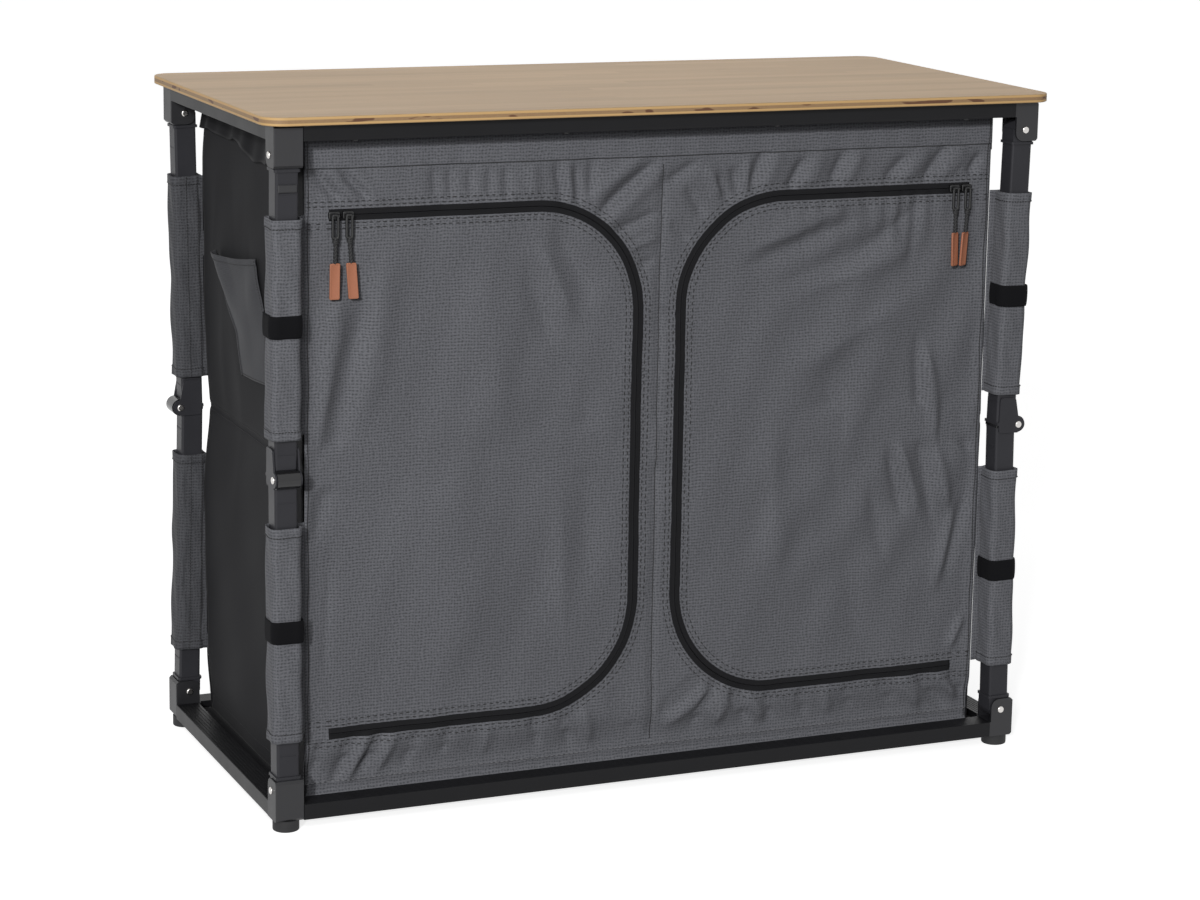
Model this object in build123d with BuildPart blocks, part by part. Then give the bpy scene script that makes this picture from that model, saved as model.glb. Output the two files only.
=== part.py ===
# Folding camping cupboard: a bamboo top and an aluminium base frame joined by four
# folding legs, with a zipped fabric cupboard hung between them.
# Millimetres. X is the width, Y the depth with the doors at -Y, Z is up.
# The origin is on the floor, at the middle of the four feet.
#
# The four corners are the same corner turned by a quarter turn each time. A corner is
# drawn in its own frame: x runs along the leg's pivot, from the corner inwards, y is the
# way the leg folds, and z is up.
from build123d import *
from math import asin, atan, cos, degrees, hypot, radians, sin
import os

# Overall sizes
overall_height = 800.0
frame_width = 938.0
frame_depth = 440.0
table_overhang = 13.0
table_thickness = 10.0
table_corner_radius = 25.0
table_edge_radius = 1.5

# Rails, an extrusion with a chamber and a round channel for the fabric's bead
rail_width = 28.0
rail_height = 18.0
rail_wall = 1.6
rail_edge_radius = 0.8
chamber_width = 15.4
channel_radius = 3.2
channel_inset = 5.0
channel_mouth = 2.6
groove_count = 6
groove_pitch = 4.0
groove_width = 1.0
groove_depth = 0.5
rail_end_gap = 0.2
overrun = 1.0

# Corner brackets
bracket_length = 33.0
bracket_depth = 31.0
bracket_wall = 3.2
ear_rise = 28.5
ear_depth = 29.5
ear_round = 10.0
bracket_chamfer = 3.0
bracket_edge_radius = 1.0
stub_length = 28.0
stub_clearance = 0.3
stub_chamfer = 1.2
foot_height = 13.0
foot_radius = 15.0
foot_stem_radius = 4.0
foot_stem_length = 9.0
foot_stem_end_gap = 0.5
foot_tread_round = 1.5
foot_top_round = 0.8

# Pivots
pivot_inset = 17.0
pivot_rise = 15.2
rivet_radius = 3.0
rivet_head_radius = 4.2
rivet_head_height = 1.8
rivet_head_round = 1.5
rivet_fit = 0.05
running_fit = 0.08
side_clearance = 0.3
seat_gap = 0.05

# Legs
tube_size = 26.0
tube_wall = 1.5
tube_edge_radius = 3.0
tube_offset = 1.0
plug_radius = 12.0
flange_start = 14.6
flange_thickness = 3.0
flange_lip = 1.8
plug_length = 26.0
over_centre = 8.0
pin_outside_tube = 2.5
dimple_distance = 24.0
dimple_width = 19.0
dimple_height = 1.6
dimple_depth = 0.5

# Knee fittings
knuckle_radius = 10.0
knuckle_clearance = 0.4
cap_thickness = 3.0
cap_gap = 0.15
cheek_thickness = 2.0
cheek_clearance = 0.4
cheek_drop = 10.0
cheek_rise = 33.0
cheek_inner_margin = 2.5
cheek_round = 4.0
ear_radius = 8.8

# Sleeves and their straps
sleeve_thickness = 4.0
sleeve_clearance = 0.3
sleeve_round = 8.0
sleeve_web = 1.4
lower_sleeve_start = 57.0
lower_sleeve_knee_gap = 55.4
upper_sleeve_start = 75.0
upper_sleeve_knee_gap = 37.4
strap_width = 25.0
strap_thickness = 1.2

# Fabric cupboard
fabric_thickness = 2.0
fabric_front_inset = 32.0
fabric_side_inset = 44.0
fabric_gap = 0.3
bead_clearance = 0.4
web_thickness = 1.6
board_thickness = 5.0
board_margin = 4.0
board_corner_radius = 4.0
shelf_height = 404.0
sling_thickness = 1.2
pocket_width = 200.0
pocket_height = 137.0
pocket_bottom = 474.0
pocket_front_inset = 100.0
pocket_thickness = 6.0

# Doors and zips
door_inner_x = 27.0
door_side_margin = 28.0
door_bottom_margin = 77.0
door_top_margin = 94.5
door_corner_radius = 125.0
door_gap = 0.5
tape_width = 6.0
tape_thickness = 0.8
slider_length = 13.0
slider_width = 9.0
slider_thickness = 3.4
slider_round = 1.2
slider_end_distance = 5.0
slider_pitch = 16.0
lug_thickness = 1.5
lug_radius = 1.6
bar_radius = 0.8
bar_distance = 2.6
pull_width = 5.6
pull_length = 25.0
pull_thickness = 1.2
pull_eye_radius = 1.9
pull_end_round = 1.8
cord_radius = 1.1
cord_length = 27.0
knot_radius = 2.2
tag_width = 11.0
tag_length = 39.0
tag_thickness = 1.6
tag_round = 1.5

# Tabletop screws
screw_radius = 2.0
screw_head_radius = 4.0
screw_head_height = 2.4
screw_head_round = 1.2
screw_bite = 6.0
screw_long_end_distance = 94.0
screw_middle_distance = 130.0
screw_short_end_distance = 110.0

# Heights worked out from the sizes above
table_underside = overall_height - table_thickness
base_rail_top = foot_height + rail_height
knee_height = (foot_height + table_underside) / 2
base_pivot_height = base_rail_top + pivot_rise
half_height = knee_height - base_pivot_height

# A leg half in its own frame: the pivot at the origin, z along the tube to the knee
pin_offset = tube_offset - tube_size / 2 - pin_outside_tube
link_length = hypot(half_height, over_centre)
pin_distance = (link_length**2 - pin_offset**2) ** 0.5
leg_tilt = degrees(atan(-pin_offset / pin_distance) - asin(over_centre / link_length))
tube_start = flange_start + flange_thickness
tube_end = pin_distance - cap_thickness
cheek_inner = tube_size / 2 + cheek_clearance
cheek_outer = cheek_inner + cheek_thickness
slot_width = tube_size + 2 * side_clearance
insert_size = tube_size - 2 * tube_wall - 2 * stub_clearance
lower_sleeve_length = link_length - lower_sleeve_start - lower_sleeve_knee_gap
upper_sleeve_length = link_length - upper_sleeve_start - upper_sleeve_knee_gap

# Where the tabletop's screws stand along a long and a short rail, from its middle
long_screw_end = frame_width / 2 - screw_long_end_distance
short_screw_end = frame_depth / 2 - screw_short_end_distance
long_screw_places = (-long_screw_end, -screw_middle_distance, screw_middle_distance, long_screw_end)
short_screw_places = (-short_screw_end, short_screw_end)

corner_places = {
    "fl": Location((-frame_width / 2, -frame_depth / 2, 0), (0, 0, 0)),
    "fr": Location((frame_width / 2, -frame_depth / 2, 0), (0, 0, 90)),
    "br": Location((frame_width / 2, frame_depth / 2, 0), (0, 0, 180)),
    "bl": Location((-frame_width / 2, frame_depth / 2, 0), (0, 0, 270)),
}
rail_names = {"fl": "front", "fr": "right", "br": "back", "bl": "left"}
rail_spans = {"fl": frame_width, "fr": frame_depth, "br": frame_width, "bl": frame_depth}
mid_plane = Plane.XY.offset(knee_height)

os.makedirs("parts", exist_ok=True)


# The rail's section, in a sketch whose x runs inwards and whose y runs up
def rail_section():
    with BuildSketch() as section:
        with Locations((rail_width / 2, foot_height + rail_height / 2)):
            RectangleRounded(rail_width, rail_height, rail_edge_radius)
        with Locations((rail_wall + chamber_width / 2, foot_height + rail_height / 2)):
            Rectangle(chamber_width, rail_height - 2 * rail_wall, mode=Mode.SUBTRACT)
        with Locations((rail_width - channel_inset, foot_height + rail_height / 2)):
            Circle(channel_radius, mode=Mode.SUBTRACT)
        with Locations((rail_width, foot_height + rail_height / 2)):
            Rectangle(2 * channel_inset, channel_mouth, mode=Mode.SUBTRACT)
        with Locations((rail_width / 2, base_rail_top)):
            with GridLocations(groove_pitch, 0, groove_count, 1):
                Rectangle(groove_width, 2 * groove_depth, mode=Mode.SUBTRACT)
    return section.sketch


# A rail of the base frame, in the frame of the corner that it starts from
def base_rail(span):
    length = span - bracket_length - bracket_depth - 2 * rail_end_gap
    with BuildPart() as rail:
        start = Plane((bracket_length + rail_end_gap, 0, 0), x_dir=(0, 1, 0), z_dir=(1, 0, 0))
        with BuildSketch(start):
            add(rail_section())
        extrude(amount=length)
    return rail.part


# The stub that fills a rail's chamber, along x from the bracket's end
def rail_stub(start):
    stub_width = chamber_width - 2 * stub_clearance
    stub_height = rail_height - 2 * rail_wall - 2 * stub_clearance
    with BuildPart() as stub:
        plane = Plane((start, 0, 0), x_dir=(0, 1, 0), z_dir=(1, 0, 0))
        with BuildSketch(plane):
            with Locations((rail_wall + chamber_width / 2, foot_height + rail_height / 2)):
                Rectangle(stub_width, stub_height)
        extrude(amount=stub_length)
        chamfer(stub.faces().sort_by(Axis.X)[-1].edges(), length=stub_chamfer)
    return stub.part


# A corner bracket: a block on the frame, two ears and an outer stop wall
def corner_bracket(foot_hole):
    ear_top = base_rail_top + ear_rise
    with BuildPart() as bracket:
        with BuildSketch(Plane.YZ):
            with BuildLine():
                Polyline(
                    (ear_depth, base_rail_top),
                    (bracket_depth, base_rail_top),
                    (bracket_depth, foot_height),
                    (bracket_chamfer, foot_height),
                    (0, foot_height + bracket_chamfer),
                    (0, ear_top - bracket_chamfer),
                    (bracket_chamfer, ear_top),
                    (ear_depth - ear_round, ear_top),
                )
                RadiusArc(
                    (ear_depth - ear_round, ear_top),
                    (ear_depth, ear_top - ear_round),
                    ear_round,
                )
                Line((ear_depth, ear_top - ear_round), (ear_depth, base_rail_top))
            make_face()
        extrude(amount=bracket_length)
        slot_origin = (bracket_length / 2, bracket_wall, base_rail_top)
        with Locations(slot_origin):
            Box(
                slot_width,
                bracket_depth,
                ear_rise + overrun,
                align=(Align.CENTER, Align.MIN, Align.MIN),
                mode=Mode.SUBTRACT,
            )
        outer_edges = bracket.edges().filter_by(Axis.Z).group_by(Axis.Y)[0]
        fillet(outer_edges, radius=bracket_edge_radius)
        add(rail_stub(bracket_length))
        add(rail_stub(bracket_depth).mirror(Plane((0, 0, 0), z_dir=(1, -1, 0))))
        pivot_plane = Plane((0, pivot_inset, base_pivot_height), z_dir=(1, 0, 0))
        with BuildSketch(pivot_plane):
            Circle(rivet_radius + rivet_fit)
        extrude(amount=bracket_length, mode=Mode.SUBTRACT)
        if foot_hole:
            with BuildSketch(Plane.XY.offset(foot_height)):
                with Locations((bracket_length / 2, bracket_depth / 2)):
                    Circle(foot_stem_radius + rivet_fit)
            extrude(amount=foot_stem_length + foot_stem_end_gap, mode=Mode.SUBTRACT)
    return bracket.part


# A steel rivet along x, centred, with a rounded head at each end
def rivet(grip):
    with BuildPart() as pin:
        with BuildSketch(Plane.YZ):
            Circle(rivet_head_radius)
        extrude(amount=grip / 2 + rivet_head_height, both=True)
        fillet(pin.edges(), radius=rivet_head_round)
        with BuildSketch(Plane.YZ):
            Circle(2 * rivet_head_radius)
            Circle(rivet_radius, mode=Mode.SUBTRACT)
        extrude(amount=grip / 2, both=True, mode=Mode.SUBTRACT)
    return pin.part


# A square section about the tube's centre line, in the leg's frame
def tube_square(size_x, size_y, radius):
    with BuildSketch() as square:
        with Locations((0, tube_offset)):
            if radius > 0:
                RectangleRounded(size_x, size_y, radius)
            else:
                Rectangle(size_x, size_y)
    return square.sketch


# The knuckle's round outline about the knee pin, as a sketch on the plane across the pin
def knee_round(radius):
    with BuildSketch() as circle:
        with Locations((pin_offset, pin_distance)):
            Circle(radius)
    return circle.sketch


# A leg half's square tube, notched for the knuckle and dimpled over its two inserts
def leg_tube():
    with BuildPart() as tube:
        with BuildSketch(Plane.XY.offset(tube_start + seat_gap)):
            add(tube_square(tube_size, tube_size, tube_edge_radius))
            bore = tube_size - 2 * tube_wall
            add(tube_square(bore, bore, tube_edge_radius - tube_wall), mode=Mode.SUBTRACT)
        extrude(amount=tube_end - tube_start - 2 * seat_gap)
        with BuildSketch(Plane.YZ):
            add(knee_round(knuckle_radius + knuckle_clearance))
        extrude(amount=tube_size, both=True, mode=Mode.SUBTRACT)
        dimple_heights = (tube_start + dimple_distance, tube_end - dimple_distance)
        faces = (tube_offset - tube_size / 2, tube_offset + tube_size / 2)
        for height in dimple_heights:
            for face in faces:
                with Locations((0, face, height)):
                    Box(dimple_width, 2 * dimple_depth, dimple_height, mode=Mode.SUBTRACT)
    return tube.part


# The moulded plug at a tube's pivot end, which turns between the bracket's ears
def pivot_plug():
    with BuildPart() as plug:
        with BuildSketch(Plane.YZ.offset(-tube_size / 2)):
            Circle(plug_radius)
            with Locations((tube_offset, 0)):
                Rectangle(tube_size, flange_start, align=(Align.CENTER, Align.MIN))
        extrude(amount=tube_size)
        with BuildSketch(Plane.XY.offset(flange_start)):
            lip_size = tube_size + 2 * flange_lip
            add(tube_square(lip_size, lip_size, tube_edge_radius))
        extrude(amount=flange_thickness)
        with BuildSketch(Plane.XY.offset(tube_start)):
            add(tube_square(insert_size, insert_size, tube_edge_radius - tube_wall))
        extrude(amount=plug_length)
        with BuildSketch(Plane.YZ.offset(-tube_size / 2)):
            Circle(rivet_radius + running_fit)
        extrude(amount=tube_size, mode=Mode.SUBTRACT)
    return plug.part


# The plane where the two halves of a knee meet, in the leg's frame
def knee_plane():
    tilt = radians(leg_tilt)
    up = Vector(0, -sin(tilt), cos(tilt))
    return Plane(Vector(0, pin_offset, pin_distance) - up * cap_gap, z_dir=up)


# The insert and the square cap of a knee fitting, cut off where the other half begins
def knee_cap(width):
    with BuildPart() as cap:
        with BuildSketch(Plane.XY.offset(tube_end - plug_length)):
            add(tube_square(insert_size, insert_size, tube_edge_radius - tube_wall))
        extrude(amount=plug_length)
        with BuildSketch(Plane.XY.offset(tube_end)):
            add(tube_square(width, tube_size, 0))
        extrude(amount=2 * cap_thickness)
        split(bisect_by=knee_plane(), keep=Keep.BOTTOM)
    return cap.part


# The lower leg's knee fitting: a cap with the knuckle that the pin runs through
def knee_knuckle():
    with BuildPart() as knuckle:
        add(knee_cap(tube_size))
        with BuildSketch(Plane.YZ.offset(-tube_size / 2)):
            add(knee_round(knuckle_radius))
        extrude(amount=tube_size)
        with BuildSketch(Plane.YZ.offset(-tube_size / 2)):
            add(knee_round(rivet_radius + running_fit))
        extrude(amount=tube_size, mode=Mode.SUBTRACT)
    return knuckle.part


# One cheek's outline on the plane across the pin
def cheek_outline():
    low = pin_distance - cheek_rise
    high = pin_distance + cheek_drop
    inner = tube_offset + tube_size / 2 - cheek_inner_margin
    with BuildSketch() as outline:
        with BuildLine():
            FilletPolyline(
                (pin_offset, low + cheek_rise - ear_radius),
                (tube_offset - tube_size / 2 + cheek_inner_margin, low),
                (inner, low),
                (inner, high),
                (pin_offset, high),
                radius=cheek_round,
            )
            Line((pin_offset, high), (pin_offset, low + cheek_rise - ear_radius))
        make_face()
        add(knee_round(ear_radius))
    return outline.sketch


# The upper leg's knee fitting: a cap with two cheeks that carry the pin
def knee_bracket():
    with BuildPart() as bracket:
        add(knee_cap(2 * cheek_outer))
        with BuildSketch(Plane.YZ):
            add(knee_round(knuckle_radius + knuckle_clearance))
        extrude(amount=cheek_inner, both=True, mode=Mode.SUBTRACT)
        for side in (-cheek_outer, cheek_inner):
            with BuildSketch(Plane.YZ.offset(side)):
                add(cheek_outline())
            extrude(amount=cheek_thickness)
        with BuildSketch(Plane.YZ.offset(-cheek_outer)):
            add(knee_round(rivet_radius + rivet_fit))
        extrude(amount=2 * cheek_outer, mode=Mode.SUBTRACT)
    return bracket.part


# A point given from the pivot in the corner's frame, turned into the leg's frame
def in_leg_frame(inwards, height):
    tilt = radians(leg_tilt)
    return (
        inwards * cos(tilt) - height * sin(tilt),
        inwards * sin(tilt) + height * cos(tilt),
    )


# A sleeve round a leg half, with the web that is sewn to the cupboard's corner.
# box_x and box_y are the cupboard's corner as seen from the pivot.
def leg_sleeve(start, length, box_x, box_y):
    inner = tube_size + 2 * sleeve_clearance
    outer = inner + 2 * sleeve_thickness
    with BuildPart() as sleeve:
        with BuildSketch(Plane.XY.offset(start)):
            add(tube_square(outer, outer, sleeve_round))
            add(tube_square(inner, inner, tube_edge_radius), mode=Mode.SUBTRACT)
        extrude(amount=length)
        side = 1 if box_x > 0 else -1
        root_x = side * (outer / 2 - sleeve_thickness / 2)
        root_y = tube_offset + tube_size / 4
        for height in (start, start + length):
            edge_y = in_leg_frame(box_y, height)[0]
            run = Vector(box_x - root_x, edge_y - root_y)
            across = Vector(-run.Y, run.X).normalized() * (sleeve_web / 2)
            tip = Vector(box_x, edge_y) - run.normalized() * (fabric_gap + sleeve_web / 2)
            root = Vector(root_x, root_y)
            with BuildSketch(Plane.XY.offset(height)):
                with BuildLine():
                    Polyline(root + across, tip + across, tip - across, root - across, close=True)
                make_face()
        loft(ruled=True)
    return sleeve.part


# The hook-and-loop strap round the middle of a sleeve
def sleeve_strap(start, length):
    inner = tube_size + 2 * sleeve_clearance + 2 * sleeve_thickness + 2 * fabric_gap
    outer = inner + 2 * strap_thickness
    with BuildPart() as strap:
        with BuildSketch(Plane.XY.offset(start + (length - strap_width) / 2)):
            add(tube_square(outer, outer, sleeve_round + strap_thickness))
            add(tube_square(inner, inner, sleeve_round), mode=Mode.SUBTRACT)
        extrude(amount=strap_width)
    return strap.part


# Where a corner's leg halves stand, from the corner's own frame
lower_place = Location((bracket_length / 2, pivot_inset, base_pivot_height), (-leg_tilt, 0, 0))
upper_place = Location(
    (bracket_length / 2, pivot_inset, 2 * knee_height - base_pivot_height), (leg_tilt, 0, 0)
) * Location((0, 0, 0), (0, 180, 0))


# Base and top frames
for corner, place in corner_places.items():
    rail_shape = base_rail(rail_spans[corner])
    with BuildPart() as base_rail_piece:
        with Locations(place):
            add(rail_shape)
    base_rail_piece.part.label = f"base_rail_{rail_names[corner]}"
    export_step(base_rail_piece.part, f"parts/base_rail_{rail_names[corner]}.step")

    is_long = rail_spans[corner] == frame_width
    screw_places = long_screw_places if is_long else short_screw_places
    with BuildPart() as top_rail:
        with Locations(place):
            add(rail_shape.mirror(mid_plane))
            for screw_place in screw_places:
                hole_x = rail_spans[corner] / 2 + screw_place
                hole_y = rail_wall + chamber_width / 2
                with Locations((hole_x, hole_y, table_underside)):
                    Cylinder(screw_radius + rivet_fit, 3 * rail_height, mode=Mode.SUBTRACT)
    top_rail.part.label = f"top_rail_{rail_names[corner]}"
    export_step(top_rail.part, f"parts/top_rail_{rail_names[corner]}.step")

base_bracket = corner_bracket(foot_hole=True)
top_bracket = corner_bracket(foot_hole=False).mirror(mid_plane)

with BuildPart() as base_corners:
    for place in corner_places.values():
        with Locations(place):
            add(base_bracket)
base_corners.part.label = "base_corners"
export_step(base_corners.part, "parts/base_corners.step")

with BuildPart() as top_corners:
    for place in corner_places.values():
        with Locations(place):
            add(top_bracket)
top_corners.part.label = "top_corners"
export_step(top_corners.part, "parts/top_corners.step")

# A rubber foot with a stem that is pressed into the bracket above it
with BuildPart() as foot:
    Cylinder(foot_radius, foot_height, align=(Align.CENTER, Align.CENTER, Align.MIN))
    fillet(foot.faces().sort_by(Axis.Z)[0].edges(), radius=foot_tread_round)
    fillet(foot.faces().sort_by(Axis.Z)[-1].edges(), radius=foot_top_round)
    with Locations((0, 0, foot_height - overrun)):
        Cylinder(
            foot_stem_radius,
            foot_stem_length + overrun,
            align=(Align.CENTER, Align.CENTER, Align.MIN),
        )

with BuildPart() as feet:
    for place in corner_places.values():
        with Locations(place * Location((bracket_length / 2, bracket_depth / 2, 0))):
            add(foot.part)
feet.part.label = "feet"
export_step(feet.part, "parts/feet.step")

pivot_rivet = rivet(bracket_length + 2 * seat_gap)

with BuildPart() as base_pivot_rivets:
    for place in corner_places.values():
        with Locations(place * Location((bracket_length / 2, pivot_inset, base_pivot_height))):
            add(pivot_rivet)
base_pivot_rivets.part.label = "base_pivot_rivets"
export_step(base_pivot_rivets.part, "parts/base_pivot_rivets.step")

top_pivot_height = 2 * knee_height - base_pivot_height
with BuildPart() as top_pivot_rivets:
    for place in corner_places.values():
        with Locations(place * Location((bracket_length / 2, pivot_inset, top_pivot_height))):
            add(pivot_rivet)
top_pivot_rivets.part.label = "top_pivot_rivets"
export_step(top_pivot_rivets.part, "parts/top_pivot_rivets.step")

# The bamboo top and the screws that hold it on the top frame
with BuildPart() as tabletop:
    with BuildSketch(Plane.XY.offset(table_underside)):
        RectangleRounded(
            frame_width + 2 * table_overhang,
            frame_depth + 2 * table_overhang,
            table_corner_radius,
        )
    extrude(amount=table_thickness)
    long_edges = tabletop.faces().filter_by(Axis.Z).edges()
    fillet(long_edges, radius=table_edge_radius)
    for corner, place in corner_places.items():
        is_long = rail_spans[corner] == frame_width
        screw_places = long_screw_places if is_long else short_screw_places
        for screw_place in screw_places:
            hole_x = rail_spans[corner] / 2 + screw_place
            hole_y = rail_wall + chamber_width / 2
            with Locations(place * Location((hole_x, hole_y, table_underside))):
                Cylinder(
                    screw_radius + rivet_fit,
                    screw_bite + overrun,
                    align=(Align.CENTER, Align.CENTER, Align.MIN),
                    mode=Mode.SUBTRACT,
                )
tabletop.part.label = "tabletop"
export_step(tabletop.part, "parts/tabletop.step")

with BuildPart() as screw:
    with Locations((0, 0, -screw_head_height)):
        Cylinder(
            screw_head_radius,
            screw_head_height,
            align=(Align.CENTER, Align.CENTER, Align.MIN),
        )
    fillet(screw.faces().sort_by(Axis.Z)[0].edges(), radius=screw_head_round)
    Cylinder(
        screw_radius,
        rail_height + screw_bite,
        align=(Align.CENTER, Align.CENTER, Align.MIN),
    )

with BuildPart() as tabletop_screws:
    for corner, place in corner_places.items():
        is_long = rail_spans[corner] == frame_width
        screw_places = long_screw_places if is_long else short_screw_places
        for screw_place in screw_places:
            screw_x = rail_spans[corner] / 2 + screw_place
            screw_y = rail_wall + chamber_width / 2
            seat = table_underside - rail_height
            with Locations(place * Location((screw_x, screw_y, seat))):
                add(screw.part)
tabletop_screws.part.label = "tabletop_screws"
export_step(tabletop_screws.part, "parts/tabletop_screws.step")

# The folding legs and their sleeves
tube_shape = leg_tube()
plug_shape = pivot_plug()
knuckle_shape = knee_knuckle()
knee_bracket_shape = knee_bracket()
knee_pin_shape = rivet(2 * cheek_outer + 2 * seat_gap)
strapped_corners = ("fl", "fr")

for corner, place in corner_places.items():
    box_insets = (fabric_side_inset, fabric_front_inset)
    if corner in ("fr", "bl"):
        box_insets = (fabric_front_inset, fabric_side_inset)
    box_x = box_insets[0] - bracket_length / 2
    box_y = box_insets[1] - pivot_inset

    with BuildPart() as lower_tube:
        with Locations(place * lower_place):
            add(tube_shape)
            add(plug_shape)
    lower_tube.part.label = f"leg_{corner}_lower_tube"
    export_step(lower_tube.part, f"parts/leg_{corner}_lower_tube.step")

    with BuildPart() as lower_knee:
        with Locations(place * lower_place):
            add(knuckle_shape)
    lower_knee.part.label = f"leg_{corner}_knee_knuckle"
    export_step(lower_knee.part, f"parts/leg_{corner}_knee_knuckle.step")

    with BuildPart() as upper_tube:
        with Locations(place * upper_place):
            add(tube_shape)
            add(plug_shape)
    upper_tube.part.label = f"leg_{corner}_upper_tube"
    export_step(upper_tube.part, f"parts/leg_{corner}_upper_tube.step")

    with BuildPart() as upper_knee:
        with Locations(place * upper_place):
            add(knee_bracket_shape)
            with Locations((0, pin_offset, pin_distance)):
                add(knee_pin_shape)
    upper_knee.part.label = f"leg_{corner}_knee_bracket"
    export_step(upper_knee.part, f"parts/leg_{corner}_knee_bracket.step")

    with BuildPart() as lower_sleeve:
        with Locations(place * lower_place):
            add(leg_sleeve(lower_sleeve_start, lower_sleeve_length, box_x, box_y))
            if corner in strapped_corners:
                add(sleeve_strap(lower_sleeve_start, lower_sleeve_length))
    lower_sleeve.part.label = f"sleeve_{corner}_lower"
    export_step(lower_sleeve.part, f"parts/sleeve_{corner}_lower.step")

    with BuildPart() as upper_sleeve:
        with Locations(place * upper_place):
            add(leg_sleeve(upper_sleeve_start, upper_sleeve_length, -box_x, box_y))
            if corner in strapped_corners:
                add(sleeve_strap(upper_sleeve_start, upper_sleeve_length))
    upper_sleeve.part.label = f"sleeve_{corner}_upper"
    export_step(upper_sleeve.part, f"parts/sleeve_{corner}_upper.step")

# The fabric cupboard: its panels hang from beads in the top rails' channels
box_half_width = frame_width / 2 - fabric_side_inset
box_half_depth = frame_depth / 2 - fabric_front_inset
channel_height = table_underside - rail_height / 2
floor_height = foot_height + rail_height / 2
bead_radius = channel_radius - bead_clearance
floor_top = floor_height + web_thickness / 2
panel_bottom = floor_top + fabric_gap
front_channel = frame_depth / 2 - rail_width + channel_inset
side_channel = frame_width / 2 - rail_width + channel_inset
bead_half_width = box_half_width - sleeve_thickness
bead_half_depth = box_half_depth - sleeve_thickness
door_outer_x = box_half_width - door_side_margin
door_bottom = floor_height + door_bottom_margin
door_top = channel_height - door_top_margin


# A closed door outline: straight at the hinge side, round at both inner corners
def door_outline(grow):
    inner = door_inner_x - grow
    low = door_bottom - grow
    high = door_top + grow
    radius = door_corner_radius + grow
    with BuildSketch() as outline:
        with BuildLine():
            Polyline((inner + radius, high), (door_outer_x, high), (door_outer_x, low))
            Line((door_outer_x, low), (inner + radius, low))
            RadiusArc((inner + radius, low), (inner, low + radius), radius)
            Line((inner, low + radius), (inner, high - radius))
            RadiusArc((inner, high - radius), (inner + radius, high), radius)
        make_face()
    return outline.sketch


# A sheet that hangs from a bead in a top rail: the panel, its web and the bead.
# The sheet stands on y = 0 and its web runs to the bead at -y.
def hung_panel(half_width, bead_half, bead_distance):
    with BuildPart() as panel:
        with BuildSketch(Plane.XZ):
            with Locations((0, panel_bottom)):
                Rectangle(
                    2 * half_width,
                    channel_height + web_thickness / 2 - panel_bottom,
                    align=(Align.CENTER, Align.MIN),
                )
        extrude(amount=fabric_thickness / 2, both=True)
        with Locations((0, -bead_distance / 2, channel_height)):
            Box(2 * bead_half, bead_distance, web_thickness)
        bead_plane = Plane((-bead_half, -bead_distance, channel_height), z_dir=(1, 0, 0))
        with BuildSketch(bead_plane):
            Circle(bead_radius)
        extrude(amount=2 * bead_half)
    return panel.part


front_y = -box_half_depth + fabric_thickness / 2
front_bead_distance = front_channel + front_y
side_x = box_half_width - fabric_thickness / 2
side_bead_distance = side_channel - side_x
side_half_depth = box_half_depth - fabric_thickness - fabric_gap

with BuildPart() as front_surround:
    with Locations((0, front_y, 0)):
        add(hung_panel(box_half_width, bead_half_width, front_bead_distance))
    for flip in (1, -1):
        front_plane = Plane((0, front_y, 0), x_dir=(flip, 0, 0), z_dir=(0, -flip, 0))
        with BuildSketch(front_plane):
            add(door_outline(door_gap / 2 + tape_width))
        extrude(amount=flip * (fabric_thickness / 2 + tape_thickness))
        with BuildSketch(front_plane):
            add(door_outline(door_gap / 2))
            with Locations((door_outer_x, (door_bottom + door_top) / 2)):
                Rectangle(door_gap, door_top - door_bottom + door_gap)
        extrude(amount=2 * fabric_thickness, both=True, mode=Mode.SUBTRACT)
front_surround.part.label = "front_surround"
export_step(front_surround.part, "parts/front_surround.step")

with BuildPart() as back_panel:
    with Locations(Location((0, -front_y, 0), (0, 0, 180))):
        add(hung_panel(box_half_width, bead_half_width, front_bead_distance))
back_panel.part.label = "back_panel"
export_step(back_panel.part, "parts/back_panel.step")

with BuildPart() as side_right:
    with Locations(Location((side_x, 0, 0), (0, 0, 90))):
        add(hung_panel(side_half_depth, bead_half_depth, side_bead_distance))
side_right.part.label = "side_right"
export_step(side_right.part, "parts/side_right.step")

with BuildPart() as side_left:
    with Locations(Location((-side_x, 0, 0), (0, 0, 270))):
        add(hung_panel(side_half_depth, bead_half_depth, side_bead_distance))
    with Locations((-box_half_width, -frame_depth / 2 + pocket_front_inset, pocket_bottom)):
        Box(
            pocket_thickness,
            pocket_width,
            pocket_height,
            align=(Align.MAX, Align.MIN, Align.MIN),
        )
side_left.part.label = "side_left"
export_step(side_left.part, "parts/side_left.step")

# The fabric floor, slung between the base rails by a bead on each side
with BuildPart() as fabric_floor:
    with Locations((0, 0, floor_height)):
        Box(2 * side_channel, 2 * bead_half_depth, web_thickness)
        Box(2 * bead_half_width, 2 * front_channel, web_thickness)
    for side in (-1, 1):
        with BuildSketch(Plane((-bead_half_width, side * front_channel, floor_height), z_dir=(1, 0, 0))):
            Circle(bead_radius)
        extrude(amount=2 * bead_half_width)
        with BuildSketch(Plane((side * side_channel, -bead_half_depth, floor_height), z_dir=(0, 1, 0))):
            Circle(bead_radius)
        extrude(amount=2 * bead_half_depth)
fabric_floor.part.label = "fabric_floor"
export_step(fabric_floor.part, "parts/fabric_floor.step")

board_half_width = box_half_width - fabric_thickness - board_margin
board_half_depth = box_half_depth - fabric_thickness - board_margin

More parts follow.
